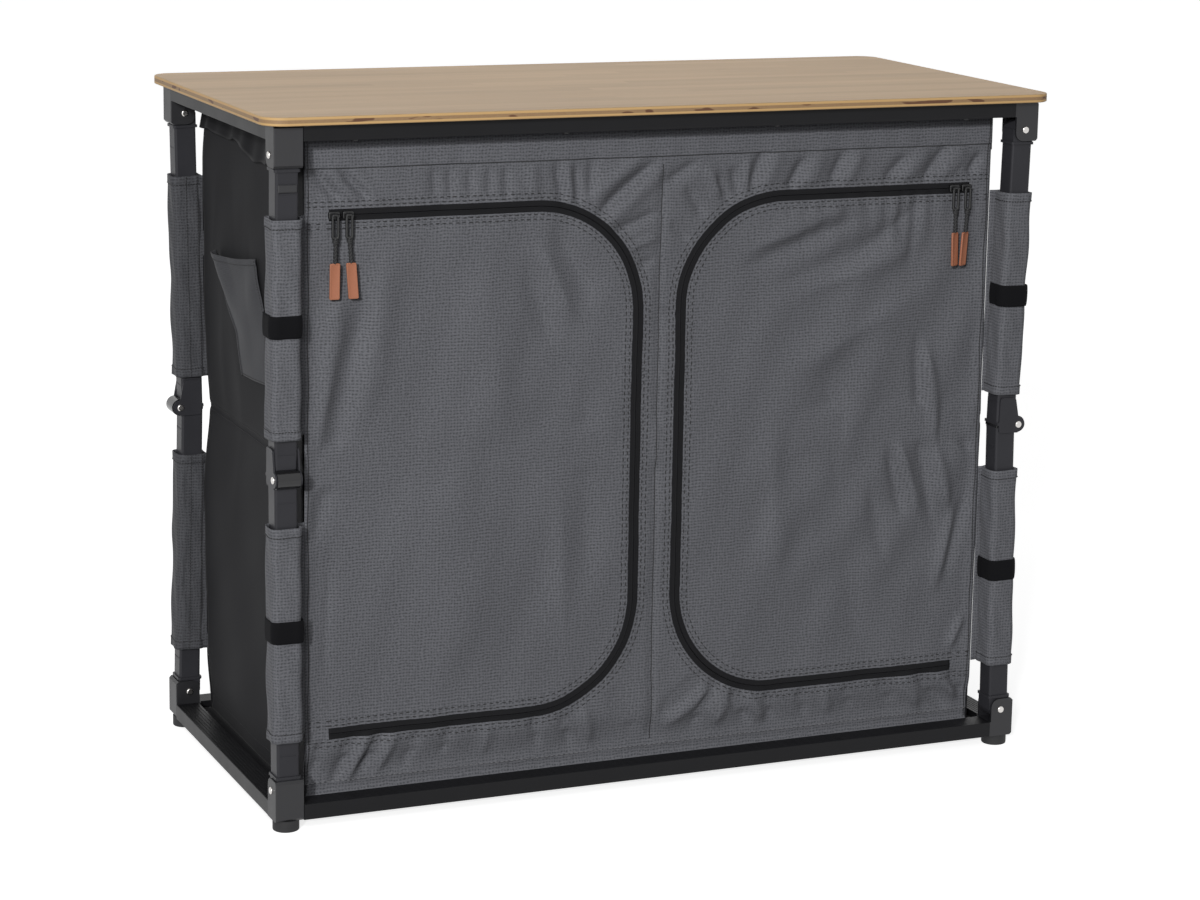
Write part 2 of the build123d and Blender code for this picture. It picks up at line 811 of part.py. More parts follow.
with BuildPart() as floor_board:
    with Locations((0, 0, floor_top + fabric_gap)):
        Box(
            2 * board_half_width,
            2 * board_half_depth,
            board_thickness,
            align=(Align.CENTER, Align.CENTER, Align.MIN),
        )
    fillet(floor_board.edges().filter_by(Axis.Z), radius=board_corner_radius)
floor_board.part.label = "floor_board"
export_step(floor_board.part, "parts/floor_board.step")

# The shelf: a board in a fabric sling that is sewn to the side and back panels
sling_half_width = box_half_width - fabric_thickness - fabric_gap
sling_half_depth = box_half_depth - fabric_thickness - fabric_gap
with BuildPart() as shelf:
    with Locations((0, 0, shelf_height)):
        Box(
            2 * board_half_width,
            2 * board_half_depth,
            board_thickness,
            align=(Align.CENTER, Align.CENTER, Align.MIN),
        )
    with Locations((0, 0, shelf_height - fabric_gap - sling_thickness)):
        Box(
            2 * sling_half_width,
            2 * sling_half_depth,
            sling_thickness,
            align=(Align.CENTER, Align.CENTER, Align.MIN),
        )
shelf.part.label = "shelf"
export_step(shelf.part, "parts/shelf.step")

# The two doors, with the door's half of the zip tape round three sides
door_sides = {"left": -1, "right": 1}
for name, side in door_sides.items():
    door_plane = Plane((0, front_y, 0), x_dir=(side, 0, 0), z_dir=(0, -side, 0))
    with BuildPart() as door:
        with BuildSketch(door_plane):
            add(door_outline(-door_gap / 2))
        extrude(amount=side * (fabric_thickness / 2 + tape_thickness))
        with BuildSketch(door_plane):
            add(door_outline(-door_gap / 2 - tape_width))
        extrude(amount=side * fabric_thickness, mode=Mode.SUBTRACT)
        with BuildSketch(door_plane):
            add(door_outline(-door_gap / 2))
        extrude(amount=fabric_thickness / 2, both=True)
    door.part.label = f"door_{name}"
    export_step(door.part, f"parts/door_{name}.step")

# The zip sliders on the top run of each zip, and their pulls, cords and tags.
# A slider is drawn about the zip's line, with its back against the tape.
tape_face = box_half_depth + tape_thickness
slider_back = -tape_face - fabric_gap
slider_face = slider_back - slider_thickness
bar_depth = slider_face - bar_distance
lug_inner = pull_width / 2 + side_clearance

with BuildPart() as slider_shape:
    with Locations((0, slider_face, 0)):
        Box(
            slider_length,
            slider_thickness,
            slider_width,
            align=(Align.CENTER, Align.MIN, Align.CENTER),
        )
    fillet(slider_shape.edges().filter_by(Axis.Y), radius=2 * slider_round)
    fillet(slider_shape.faces().sort_by(Axis.Y)[0].edges(), radius=slider_round)
    for lug_start in (-lug_inner - lug_thickness, lug_inner):
        with BuildSketch(Plane.YZ.offset(lug_start)):
            with Locations((bar_depth, 0)):
                Circle(lug_radius)
                Rectangle(
                    bar_distance + slider_round,
                    2 * lug_radius,
                    align=(Align.MIN, Align.CENTER),
                )
        extrude(amount=lug_thickness)
    with BuildSketch(Plane.YZ.offset(-lug_inner)):
        with Locations((bar_depth, 0)):
            Circle(bar_radius)
    extrude(amount=2 * lug_inner)

with BuildPart() as pull_shape:
    with BuildSketch(Plane.YZ.offset(-pull_width / 2)):
        with Locations((bar_depth, 0)):
            Circle(pull_eye_radius)
            Rectangle(pull_thickness, pull_length, align=(Align.CENTER, Align.MAX))
            Circle(bar_radius + running_fit, mode=Mode.SUBTRACT)
    extrude(amount=pull_width)
    fillet(pull_shape.faces().sort_by(Axis.Z)[0].edges().filter_by(Axis.Y), radius=pull_end_round)
    with BuildSketch(Plane.XZ.offset(-bar_depth + pull_thickness)):
        with Locations((0, -pull_length / 2)):
            SlotOverall(pull_length / 2, pull_width / 2, rotation=90)
    extrude(amount=-2 * pull_thickness, mode=Mode.SUBTRACT)

with BuildPart() as tag_shape:
    cord_start = -pull_length - seat_gap
    with BuildSketch(Plane((0, bar_depth, cord_start - cord_length))):
        Circle(cord_radius)
    extrude(amount=cord_length - knot_radius / 2)
    with Locations((0, bar_depth, cord_start - knot_radius)):
        Sphere(knot_radius)
    tag_centre = cord_start - cord_length - seat_gap - tag_length / 2
    with BuildSketch(Plane.XZ.offset(-bar_depth - tag_thickness / 2)):
        with Locations((0, tag_centre)):
            RectangleRounded(tag_width, tag_length, tag_round)
    extrude(amount=tag_thickness)

slider_orders = {"outer": 0, "inner": 1}
for name, side in door_sides.items():
    for order, rank in slider_orders.items():
        slider_x = side * (door_outer_x - slider_end_distance - rank * slider_pitch)

        with BuildPart() as zip_slider:
            with Locations((slider_x, 0, door_top)):
                add(slider_shape.part)
        zip_slider.part.label = f"zip_slider_{name}_{order}"
        export_step(zip_slider.part, f"parts/zip_slider_{name}_{order}.step")

        with BuildPart() as zip_pull:
            with Locations((slider_x, 0, door_top)):
                add(pull_shape.part)
        zip_pull.part.label = f"zip_pull_{name}_{order}"
        export_step(zip_pull.part, f"parts/zip_pull_{name}_{order}.step")

        with BuildPart() as zip_tag:
            with Locations((slider_x, 0, door_top)):
                add(tag_shape.part)
        zip_tag.part.label = f"zip_tag_{name}_{order}"
        export_step(zip_tag.part, f"parts/zip_tag_{name}_{order}.step")
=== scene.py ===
# Folding camping cupboard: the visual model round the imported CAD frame.
# Metres, in the frame's axes: X is the width, Y the depth with the doors at -Y, Z is up.
# The frame's hard pieces stay and get their finishes here. The fabric, its zips, seams,
# sleeves, straps and cords are modelled here and replace the plain CAD solids.
import math

import bpy
import numpy as np
from mathutils import Matrix, Vector


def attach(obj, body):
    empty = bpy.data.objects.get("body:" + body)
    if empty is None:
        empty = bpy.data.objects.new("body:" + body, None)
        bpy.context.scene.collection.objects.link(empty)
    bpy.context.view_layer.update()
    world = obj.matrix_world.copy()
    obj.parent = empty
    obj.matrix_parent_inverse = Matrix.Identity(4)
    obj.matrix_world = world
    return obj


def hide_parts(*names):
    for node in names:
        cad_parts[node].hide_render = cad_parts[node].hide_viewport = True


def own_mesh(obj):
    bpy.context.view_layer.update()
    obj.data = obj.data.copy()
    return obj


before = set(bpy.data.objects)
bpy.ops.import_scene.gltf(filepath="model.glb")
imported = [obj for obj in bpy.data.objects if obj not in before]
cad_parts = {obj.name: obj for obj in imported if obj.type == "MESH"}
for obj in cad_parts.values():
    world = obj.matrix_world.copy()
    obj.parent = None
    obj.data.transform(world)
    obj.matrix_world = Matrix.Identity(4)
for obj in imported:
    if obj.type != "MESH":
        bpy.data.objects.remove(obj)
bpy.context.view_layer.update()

bl_info = {
    "name": "Camping cupboard",
    "version": (1, 0, 0),
    "blender": (4, 5, 0),
    "location": "View3D > Sidebar > Cupboard",
    "description": "Fabric, zips, sleeves and finishes of a folding camping cupboard",
    "category": "Object",
}

MM = 0.001

# Places and sizes shared with the frame
FRONT_PLANE = 0.188
SIDE_PLANE = 0.425
PANEL_LOW = 0.0231
PANEL_HIGH = 0.7818
FADE_HIGH = 0.7815
FLOOR_HEIGHT = 0.022
ZIP_OUTER = 0.397
ZIP_INNER = 0.027
ZIP_LOW = 0.099
ZIP_HIGH = 0.6865
ZIP_RADIUS = 0.125
SEAM_X = 0.421
HEM_HIGH = 0.738
HEM_LOW = 0.041
SLIDER_PLACES = (0.392, 0.376)
BAR_DEPTH = -0.1951
PULL_LENGTH = 0.025
TOP_HEIGHT = 0.8
SHELF_HEIGHT = 0.404
BOARD_THICKNESS = 0.005
BOARD_HALF = (0.419, 0.182)
SLING_HALF = (0.4227, 0.1835)

# A leg half in its corner's frame
LEG_CENTRE = (0.0165, 0.017)
LOW_PIVOT = 0.0462
HIGH_PIVOT = 0.7568
LEG_TILT = math.radians(1.0485)
LOW_SLEEVE = (0.057, 0.300)
HIGH_SLEEVE = (0.075, 0.318)
SLEEVE_OFFSET = 0.001
KNEE_PIN = (-0.0145, 0.3553)
PIN_REACH = 0.0046
CORNERS = {
    "fl": (-0.469, -0.220, 0),
    "fr": (0.469, -0.220, 90),
    "br": (0.469, 0.220, 180),
    "bl": (-0.469, 0.220, 270),
}
FRONT_INSET = 0.032
SIDE_INSET = 0.044


class CupboardFabric(bpy.types.PropertyGroup):
    """Sizes of the sewn pieces"""

    sheet_thickness: bpy.props.FloatProperty(
        name="Cloth thickness", description="Thickness of a single cloth", default=0.0009,
        min=0.0004, max=0.002, unit="LENGTH", precision=4,
    )
    fold_strength: bpy.props.FloatProperty(
        name="Fold strength", description="Height of the puckers and folds against the measured ones",
        default=1.0, min=0.0, max=1.5, subtype="FACTOR",
    )
    ripstop_pitch: bpy.props.FloatProperty(
        name="Ripstop pitch", description="Distance between the ripstop threads",
        default=0.0037, min=0.001, max=0.01, unit="LENGTH", precision=4,
    )
    tape_width: bpy.props.FloatProperty(
        name="Zip tape width", description="Width of both halves of the zip tape together",
        default=0.013, min=0.008, max=0.03, unit="LENGTH", precision=4,
    )
    stitch_pitch: bpy.props.FloatProperty(
        name="Stitch pitch", description="Distance from one stitch to the next",
        default=0.0078, min=0.002, max=0.012, unit="LENGTH", precision=4,
    )
    stitch_length: bpy.props.FloatProperty(
        name="Stitch length", description="Length of one stitch",
        default=0.0052, min=0.001, max=0.01, unit="LENGTH", precision=4,
    )
    stitch_width: bpy.props.FloatProperty(
        name="Stitch width", description="Thickness of the thread",
        default=0.0013, min=0.0003, max=0.002, unit="LENGTH", precision=4,
    )
    strap_width: bpy.props.FloatProperty(
        name="Strap width", description="Width of the hook-and-loop straps",
        default=0.025, min=0.01, max=0.05, unit="LENGTH", precision=4,
    )


class CupboardColours(bpy.types.PropertyGroup):
    """Colours of the finishes"""

    front_cloth: bpy.props.FloatVectorProperty(
        name="Front cloth", description="Colour of the doors, front and sleeves",
        default=(0.118, 0.12, 0.132), min=0.0, max=1.0, size=3, subtype="COLOR",
    )
    side_cloth: bpy.props.FloatVectorProperty(
        name="Side cloth", description="Colour of the sides and the back",
        default=(0.0095, 0.0095, 0.011), min=0.0, max=1.0, size=3, subtype="COLOR",
    )
    metalwork: bpy.props.FloatVectorProperty(
        name="Metalwork", description="Colour of the rails and legs",
        default=(0.007, 0.007, 0.008), min=0.0, max=1.0, size=3, subtype="COLOR",
    )
    bamboo: bpy.props.FloatVectorProperty(
        name="Bamboo", description="Colour of the bamboo top",
        default=(0.47, 0.325, 0.186), min=0.0, max=1.0, size=3, subtype="COLOR",
    )
    tag: bpy.props.FloatVectorProperty(
        name="Zip tags", description="Colour of the tags on the zip cords",
        default=(0.40, 0.15, 0.08), min=0.0, max=1.0, size=3, subtype="COLOR",
    )


# Small node helpers
def new_material(name, colour, roughness, metallic=0.0):
    material = bpy.data.materials.new(name)
    material.use_nodes = True
    tree = material.node_tree
    shader = tree.nodes["Principled BSDF"]
    shader.inputs["Base Color"].default_value = (*colour, 1.0)
    shader.inputs["Roughness"].default_value = roughness
    shader.inputs["Metallic"].default_value = metallic
    return material, tree, shader


# A node and its inputs: each is given by its name, or as i0, i1 and so on by its number
def add_node(tree, kind, settings=None, **inputs):
    node = tree.nodes.new(kind)
    for key, value in (settings or {}).items():
        setattr(node, key, value)
    for key, value in inputs.items():
        numbered = key[0] == "i" and key[1:].isdigit()
        socket = node.inputs[int(key[1:])] if numbered else node.inputs[key]
        if isinstance(value, bpy.types.NodeSocket):
            tree.links.new(value, socket)
        else:
            socket.default_value = value
    return node


def maths(tree, operation, first, second=0.0, third=0.0):
    node = add_node(tree, "ShaderNodeMath", {"operation": operation}, i0=first, i1=second, i2=third)
    return node.outputs[0]


def coordinates(tree, scale=(1, 1, 1)):
    place = tree.nodes.new("ShaderNodeTexCoord")
    mapping = add_node(tree, "ShaderNodeMapping", Vector=place.outputs["Object"], Scale=scale)
    return mapping.outputs[0]


def cloth_coordinates(tree, scale=(1, 1, 1)):
    place = add_node(tree, "ShaderNodeUVMap", {"uv_map": "cloth"})
    mapping = add_node(tree, "ShaderNodeMapping", Vector=place.outputs[0], Scale=scale)
    return mapping.outputs[0]


def noise(tree, vector, scale, detail=2.0, roughness=0.5):
    node = add_node(
        tree, "ShaderNodeTexNoise", Vector=vector, Scale=scale, Detail=detail, Roughness=roughness
    )
    return node.outputs["Fac"]


def mix_colours(tree, factor, first, second):
    node = add_node(tree, "ShaderNodeMix", {"data_type": "RGBA"}, i0=factor)
    for index, value in ((6, first), (7, second)):
        if isinstance(value, bpy.types.NodeSocket):
            tree.links.new(value, node.inputs[index])
        else:
            node.inputs[index].default_value = (*value, 1.0)
    return node.outputs[2]


def ramp(tree, value, low, high):
    node = add_node(
        tree, "ShaderNodeMapRange", {"interpolation_type": "SMOOTHSTEP"}, Value=value,
        **{"From Min": low, "From Max": high},
    )
    return node.outputs[0]


def bump(tree, shader, height, strength, distance):
    node = add_node(tree, "ShaderNodeBump", Height=height, Strength=strength, Distance=distance)
    tree.links.new(node.outputs[0], shader.inputs["Normal"])


def shade(colour, amount):
    return tuple(channel * amount for channel in colour)


def graded(colour, amounts):
    return tuple(channel * amount for channel, amount in zip(colour, amounts))


# Colours a shader between a darker and a lighter shade of one colour
def vary(tree, shader, factor, colour, dark, light):
    mixed = mix_colours(tree, factor, shade(colour, dark), shade(colour, light))
    tree.links.new(mixed, shader.inputs["Base Color"])


# A woven cloth with a ripstop grid, from the cloth's own coordinates in metres
def ripstop(name, colour, pitch, contrast):
    material, tree, shader = new_material(name, colour, 0.75)
    place = cloth_coordinates(tree)
    parts = add_node(tree, "ShaderNodeSeparateXYZ", Vector=place)
    wander = noise(tree, cloth_coordinates(tree, (60, 40, 1)), 1.0, 2.0)
    waves = []
    for axis, drift in ((0, 2.2), (1, 1.1)):
        value = maths(tree, "MULTIPLY", parts.outputs[axis], 1 / pitch)
        value = maths(tree, "MULTIPLY_ADD", wander, drift, value)
        waves.append(maths(tree, "SINE", maths(tree, "MULTIPLY", value, 2 * math.pi)))
    cross = maths(tree, "MULTIPLY_ADD", waves[0], 0.5, maths(tree, "MULTIPLY", waves[1], 0.7))
    grid = ramp(tree, cross, -1.15, 0.35)
    rows = noise(tree, cloth_coordinates(tree, (260, 520, 1)), 1.0, 2.0, 0.6)
    yarn = noise(tree, cloth_coordinates(tree, (700, 1100, 1)), 1.0, 2.0, 0.7)
    mottle = noise(tree, cloth_coordinates(tree, (16, 18, 1)), 1.0, 2.0)
    tone = maths(tree, "MULTIPLY_ADD", yarn, 0.6, maths(tree, "MULTIPLY", grid, 0.3))
    tone = maths(tree, "MULTIPLY_ADD", rows, 0.75, tone)
    tone = maths(tree, "MULTIPLY_ADD", mottle, 0.08, tone)
    vary(tree, shader, ramp(tree, tone, 0.5, 1.25), colour, 1 - contrast, 1 + contrast)
    shader.inputs["Sheen Weight"].default_value = 0.05
    shader.inputs["Sheen Roughness"].default_value = 0.5
    shader.inputs["Specular IOR Level"].default_value = 0.2
    height = maths(tree, "MULTIPLY_ADD", yarn, 0.7, grid)
    bump(tree, shader, height, 0.3, 0.0002)
    return material


# A plain close weave
def plain_cloth(name, colour):
    material, tree, shader = new_material(name, colour, 0.8)
    fine = noise(tree, cloth_coordinates(tree, (900, 900, 1)), 1.0, 2.0, 0.6)
    mottle = noise(tree, cloth_coordinates(tree, (25, 25, 1)), 1.0, 3.0)
    tone = maths(tree, "MULTIPLY_ADD", mottle, 0.5, maths(tree, "MULTIPLY", fine, 0.5))
    vary(tree, shader, tone, colour, 0.75, 1.25)
    shader.inputs["Sheen Weight"].default_value = 0.03
    shader.inputs["Specular IOR Level"].default_value = 0.12
    bump(tree, shader, fine, 0.3, 0.0003)
    return material


def coated_metal(name, colour):
    material, tree, shader = new_material(name, colour, 0.42)
    shader.inputs["Specular IOR Level"].default_value = 0.18
    grain = noise(tree, coordinates(tree), 1400.0, 2.0)
    wear = noise(tree, coordinates(tree), 22.0, 3.0)
    tree.links.new(maths(tree, "MULTIPLY_ADD", wear, 0.16, 0.36), shader.inputs["Roughness"])
    vary(tree, shader, wear, colour, 0.85, 1.25)
    bump(tree, shader, grain, 0.18, 0.0002)
    return material


def moulded_plastic(name, colour, roughness, grain_strength):
    material, tree, shader = new_material(name, colour, roughness)
    grain = noise(tree, coordinates(tree), 900.0, 3.0, 0.6)
    patches = noise(tree, coordinates(tree), 35.0, 2.0)
    vary(tree, shader, patches, colour, 0.85, 1.2)
    rough = maths(tree, "MULTIPLY_ADD", patches, 0.14, roughness - 0.07)
    tree.links.new(rough, shader.inputs["Roughness"])
    bump(tree, shader, grain, grain_strength, 0.0003)
    return material


def steel(name):
    material, tree, shader = new_material(name, (0.62, 0.6, 0.58), 0.25, 1.0)
    grain = noise(tree, coordinates(tree), 600.0, 3.0)
    tree.links.new(maths(tree, "MULTIPLY_ADD", grain, 0.2, 0.16), shader.inputs["Roughness"])
    bump(tree, shader, grain, 0.08, 0.0002)
    return material


# The bamboo's strips in metres, and the colour of the dashes along its middle ply
STRIP_WIDTH = 0.021
STRIP_LENGTH = 0.62
PLY_DASHES = (0.15, 0.075, 0.045)


# Three-ply bamboo: long strips on the top and the plies on the edge
def bamboo(name, colour):
    material, tree, shader = new_material(name, colour, 0.4)
    shader.inputs["Specular IOR Level"].default_value = 0.22
    place = coordinates(tree)
    parts = add_node(tree, "ShaderNodeSeparateXYZ", Vector=place)
    strip = maths(tree, "FLOOR", maths(tree, "MULTIPLY", parts.outputs[1], 1 / STRIP_WIDTH))
    stagger = add_node(tree, "ShaderNodeTexWhiteNoise", {"noise_dimensions": "1D"}, W=strip)
    shifted = maths(tree, "ADD", parts.outputs[0], stagger.outputs[0])
    board = maths(tree, "FLOOR", maths(tree, "MULTIPLY", shifted, 1 / STRIP_LENGTH))
    key = add_node(tree, "ShaderNodeCombineXYZ", X=strip, Y=board)
    tone = add_node(tree, "ShaderNodeTexWhiteNoise", {"noise_dimensions": "2D"}, Vector=key.outputs[0])
    streaks = noise(tree, coordinates(tree, (7, 330, 60)), 1.0, 4.0, 0.65)
    fibres = noise(tree, coordinates(tree, (25, 1500, 300)), 1.0, 3.0, 0.7)
    patches = noise(tree, coordinates(tree, (3, 9, 1)), 1.0, 3.0)
    face = maths(tree, "MULTIPLY_ADD", streaks, 0.6, maths(tree, "MULTIPLY", fibres, 0.25))
    face = maths(tree, "MULTIPLY_ADD", tone.outputs[0], 0.2, face)
    face = maths(tree, "MULTIPLY_ADD", patches, 0.35, face)
    face = ramp(tree, face, 0.3, 1.05)
    top = mix_colours(tree, face, graded(colour, (0.76, 0.72, 0.66)), shade(colour, 1.22))
    marks = noise(tree, coordinates(tree, (26, 130, 1)), 1.0, 1.0, 0.4)
    marks = maths(tree, "MULTIPLY", ramp(tree, marks, 0.74, 0.8), 0.35)
    top = mix_colours(tree, marks, top, shade(colour, 0.5))
    depth = maths(tree, "SUBTRACT", TOP_HEIGHT, parts.outputs[2])
    middle = maths(
        tree, "MULTIPLY", ramp(tree, depth, 0.0028, 0.0034), ramp(tree, depth, 0.0072, 0.0066)
    )
    ends = noise(tree, coordinates(tree, (42, 42, 120)), 1.0, 1.0, 0.4)
    pores = noise(tree, coordinates(tree, (900, 900, 900)), 1.0, 2.0, 0.6)
    dashes = ramp(tree, ends, 0.36, 0.41)
    tint = mix_colours(tree, pores, graded(colour, (0.62, 0.5, 0.42)), shade(colour, 0.95))
    core = mix_colours(tree, dashes, PLY_DASHES, tint)
    normal = tree.nodes.new("ShaderNodeNewGeometry")
    tilt = add_node(tree, "ShaderNodeSeparateXYZ", Vector=normal.outputs["Normal"])
    upright = ramp(tree, maths(tree, "ABSOLUTE", tilt.outputs[2]), 0.75, 0.35)
    plies = mix_colours(tree, middle, graded(colour, (1.45, 1.35, 1.05)), core)
    edge = mix_colours(tree, upright, top, plies)
    tree.links.new(edge, shader.inputs["Base Color"])
    tree.links.new(maths(tree, "MULTIPLY_ADD", streaks, 0.2, 0.4), shader.inputs["Roughness"])
    bump(tree, shader, maths(tree, "ADD", streaks, fibres), 0.12, 0.0004)
    return material


def board_finish(name):
    colour = (0.05, 0.045, 0.04)
    material, tree, shader = new_material(name, colour, 0.6)
    grain = noise(tree, coordinates(tree, (250, 250, 250)), 1.0, 4.0, 0.7)
    vary(tree, shader, grain, colour, 0.7, 1.35)
    bump(tree, shader, grain, 0.2, 0.0004)
    return material


def hook_and_loop(name):
    colour = (0.006, 0.006, 0.007)
    material, tree, shader = new_material(name, colour, 0.9)
    fuzz = noise(tree, cloth_coordinates(tree, (1500, 1500, 1)), 1.0, 3.0, 0.8)
    vary(tree, shader, fuzz, colour, 0.4, 1.9)
    shader.inputs["Specular IOR Level"].default_value = 0.1
    bump(tree, shader, fuzz, 0.7, 0.0006)
    return material


def zip_tape(name):
    colour = (0.007, 0.007, 0.008)
    material, tree, shader = new_material(name, colour, 0.75)
    shader.inputs["Specular IOR Level"].default_value = 0.15
    place = cloth_coordinates(tree)
    parts = add_node(tree, "ShaderNodeSeparateXYZ", Vector=place)
    ribs = maths(tree, "SINE", maths(tree, "MULTIPLY", parts.outputs[0], 2 * math.pi / 0.0012))
    fine = noise(tree, cloth_coordinates(tree, (1200, 1200, 1)), 1.0, 2.0)
    tone = maths(tree, "MULTIPLY_ADD", ribs, 0.2, fine)
    vary(tree, shader, tone, colour, 0.6, 1.6)
    bump(tree, shader, tone, 0.4, 0.0003)
    return material


def tag_finish(name, colour):
    material, tree, shader = new_material(name, colour, 0.45)
    fine = noise(tree, coordinates(tree), 500.0, 3.0)
    vary(tree, shader, fine, colour, 0.88, 1.1)
    bump(tree, shader, fine, 0.15, 0.0003)
    return material


def thread_finish(name, colour):
    material, tree, shader = new_material(name, colour, 0.7)
    twist = noise(tree, coordinates(tree), 2500.0, 1.0)
    vary(tree, shader, twist, colour, 0.5, 1.5)
    bump(tree, shader, twist, 0.4, 0.0002)
    return material


def finish(name):
    return bpy.data.materials[name]


# Mesh helpers
def make_object(name, points, faces, cloth=None, materials=(), smooth=True, rim=0):
    mesh = bpy.data.meshes.new(name)
    mesh.from_pydata([tuple(p) for p in points], [], [tuple(int(i) for i in f) for f in faces])
    if cloth is not None:
        layer = mesh.uv_layers.new(name="cloth")
        index = np.empty(len(mesh.loops), dtype=np.int64)
        mesh.loops.foreach_get("vertex_index", index)
        layer.data.foreach_set("uv", np.asarray(cloth, dtype=np.float32)[index].ravel())
    shading = np.full(len(mesh.polygons), smooth)
    if rim:
        shading[-rim:] = False
    mesh.polygons.foreach_set("use_smooth", shading)
    for material in materials:
        mesh.materials.append(material)
    mesh.validate()
    mesh.update()
    thing = bpy.data.objects.new(name, mesh)
    bpy.context.collection.objects.link(thing)
    return thing


def grid_faces(across, along):
    u, v = np.meshgrid(np.arange(across - 1), np.arange(along - 1))
    low = (v * across + u).ravel()
    return np.stack([low, low + 1, low + 1 + across, low + across], axis=1)


# A closed sheet: the outer side, an inner side one thickness behind it, and its cut edge
def closed_sheet(outer, inner, faces):
    count = len(outer)
    back = faces[:, ::-1] + count
    pairs = np.concatenate([np.stack([faces[:, i], faces[:, (i + 1) % 4]], axis=1) for i in range(4)])
    keys = np.sort(pairs, axis=1)
    numbers = keys[:, 0] * np.int64(count) + keys[:, 1]
    _, first, times = np.unique(numbers, return_index=True, return_counts=True)
    rim = pairs[first[times == 1]]
    side = np.stack([rim[:, 1], rim[:, 0], rim[:, 0] + count, rim[:, 1] + count], axis=1)
    return np.concatenate([outer, inner]), np.concatenate([faces, back, side]), len(rim)


# The outline of a rounded rectangle round the origin, with so many steps at each corner
def rounded_corners(half_x, half_y, radius, steps):
    outline = []
    for side_x, side_y, start in ((1, -1, -90), (1, 1, 0), (-1, 1, 90), (-1, -1, 180)):
        for k in range(steps + 1):
            angle = math.radians(start + 90 // steps * k)
            x = side_x * (half_x - radius) + radius * math.cos(angle)
            outline.append((x, side_y * (half_y - radius) + radius * math.sin(angle)))
    return outline


# Keeps only the points that faces use, and the same rows of anything that goes with them
def drop_unused(points, faces, *extras):
    used = np.unique(faces)
    index = np.full(len(points), -1, dtype=np.int64)
    index[used] = np.arange(len(used))
    return points[used], index[faces], *(extra[used] for extra in extras)


def smooth_step(low, high, value):
    t = np.clip((value - low) / (high - low), 0, 1)
    return t * t * (3 - 2 * t)


# One fold of the cloth: a ridge or valley with a creased crest, along a line that fades at its ends
def fold(x, z, line, width, height):
    x1, z1, x2, z2 = (value * MM for value in line)
    dx, dz = x2 - x1, z2 - z1
    square = dx * dx + dz * dz
    t = ((x - x1) * dx + (z - z1) * dz) / square
    away = np.abs((x - x1) * dz - (z - z1) * dx) / math.sqrt(square)
    fade = smooth_step(-0.18, 0.3, t) * smooth_step(1.18, 0.7, t)
    return height * MM * fade * np.exp(-((away / (width * MM)) ** 1.5))


